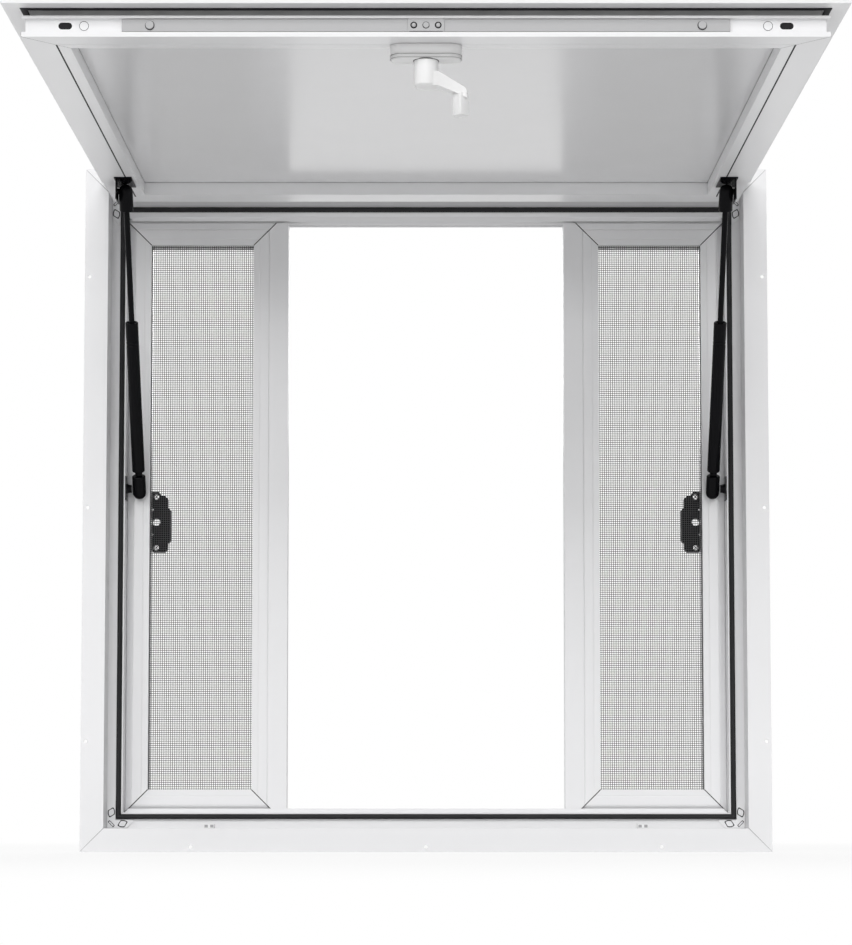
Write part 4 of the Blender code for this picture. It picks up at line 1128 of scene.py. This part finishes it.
studio = {
    "world": 0.19,
    "floorReach": 30.0,
    "floorColour": (0.86, 0.86, 0.86, 1),
    "floorRoughness": 0.9,
    "floorDrop": 0.5 * mm,
    "shadowReach": (0.7, 1.8),   # the floor's shadow fades out between these distances
    "shadowFade": 0.85,          # share of plain white mixed in close to the object
}
lamps = {
    "frontLow": {"spot": (0, -26, 3.2), "aim": (0, 0, 0.5), "size": (16, 2.4), "power": 690},
    "frontHigh": {"spot": (0, -20, 12.3), "aim": (0, 0, 0.5), "size": (16, 7), "power": 2330},
    "leftHigh": {"spot": (-14.4, -16.8, 11.8), "aim": (0, 0, 0.4), "size": (7.2, 7.2), "power": 1020},
    "top": {"spot": (0, -0.8, 8.4), "aim": (0, -0.5, 0), "size": (8, 8), "power": 185},
    "back": {"spot": (0, 13.8, 6.8), "aim": (0, 0, 0.5), "size": (12, 9), "power": 1250},
}
camera = {
    "spot": photoEye,
    "pitch": 4.2419,
    "lens": 103.113,
    "shift": 0.15,
    "clip": (0.1, 100),
}


def areaLight(name, spot, aim, size, power):
    lamp = bpy.data.lights.new(name, "AREA")
    lamp.shape = "RECTANGLE"
    lamp.size, lamp.size_y = size
    lamp.energy = power
    holder = bpy.data.objects.new(name, lamp)
    holder.location = spot
    holder.rotation_euler = (Vector(aim) - Vector(spot)).to_track_quat("-Z", "Y").to_euler()
    bpy.context.scene.collection.objects.link(holder)


def whiteWhenSeen(shading):
    # 1 for camera, glossy and transmission rays, which meet plain white; 0 for all others
    direct, glossy, through = [shading.node("ShaderNodeLightPath", output=f"Is {kind} Ray")
                               for kind in ("Camera", "Glossy", "Transmission")]
    return 1 - (1 - direct) * (1 - glossy) * (1 - through)


def buildWorld():
    world = bpy.data.worlds.new("studio")
    bpy.context.scene.world = world
    world.use_nodes = True
    world.node_tree.nodes.remove(world.node_tree.nodes["Background"])
    sky = Shading(world.node_tree)
    plain = {"Color": (1, 1, 1, 1)}
    ambient = sky.node("ShaderNodeBackground", {}, plain | {"Strength": studio["world"]})
    white = sky.node("ShaderNodeBackground", {}, plain | {"Strength": 1.0})
    mixed = sky.node("ShaderNodeMixShader", {}, {0: whiteWhenSeen(sky), 1: ambient, 2: white})
    sky.show(mixed, "World Output")


def floorMaterial():
    # the floor keeps the object's shadow beside it, and turns plain white further out
    matt = Finish("paleFloor", base_color=studio["floorColour"], roughness=studio["floorRoughness"],
                  specular_ior_level=0.0)
    spot = matt.node("ShaderNodeTexCoord", output="Object")
    distance = matt.node("ShaderNodeVectorMath", {"operation": "LENGTH"}, {0: spot}, "Value")
    near, far = studio["shadowReach"]
    ends = {"Value": distance, "From Min": near, "From Max": far, "To Min": studio["shadowFade"],
            "To Max": 1.0}
    fade = matt.node("ShaderNodeMapRange", {"interpolation_type": "SMOOTHSTEP"}, ends)
    white = matt.node("ShaderNodeEmission", {}, {"Strength": 1.0})
    shaded = Flow(matt, matt.shader.outputs[0])
    mixed = matt.node("ShaderNodeMixShader", {}, {0: whiteWhenSeen(matt) * fade, 1: shaded, 2: white})
    matt.show(mixed, "Material Output")
    return matt.material


def buildFloor():
    reach = studio["floorReach"]
    level = cadBox[0][2] - studio["floorDrop"]
    corners = [(-reach, -reach, level), (reach, -reach, level),
               (reach, reach, level), (-reach, reach, level)]
    mesh = bpy.data.meshes.new("floor")
    mesh.from_pydata(corners, [], [(0, 1, 2, 3)])
    floor = bpy.data.objects.new("floor", mesh)
    bpy.context.scene.collection.objects.link(floor)
    mesh.materials.append(floorMaterial())


def buildLamps():
    for name, settings in lamps.items():
        areaLight(name, **settings)


def buildCamera():
    eye = bpy.data.cameras.new("photoCamera")
    eye.lens = camera["lens"]
    eye.shift_y = camera["shift"]
    eye.clip_start, eye.clip_end = camera["clip"]
    holder = bpy.data.objects.new("photoCamera", eye)
    holder.location = camera["spot"]
    holder.rotation_euler = (math.radians(90 + camera["pitch"]), 0, 0)
    bpy.context.scene.collection.objects.link(holder)
    bpy.context.scene.camera = holder


buildWorld()
buildFloor()
buildLamps()
buildCamera()
bpy.context.scene.view_settings.view_transform = "Standard"
print("studio and camera ready")
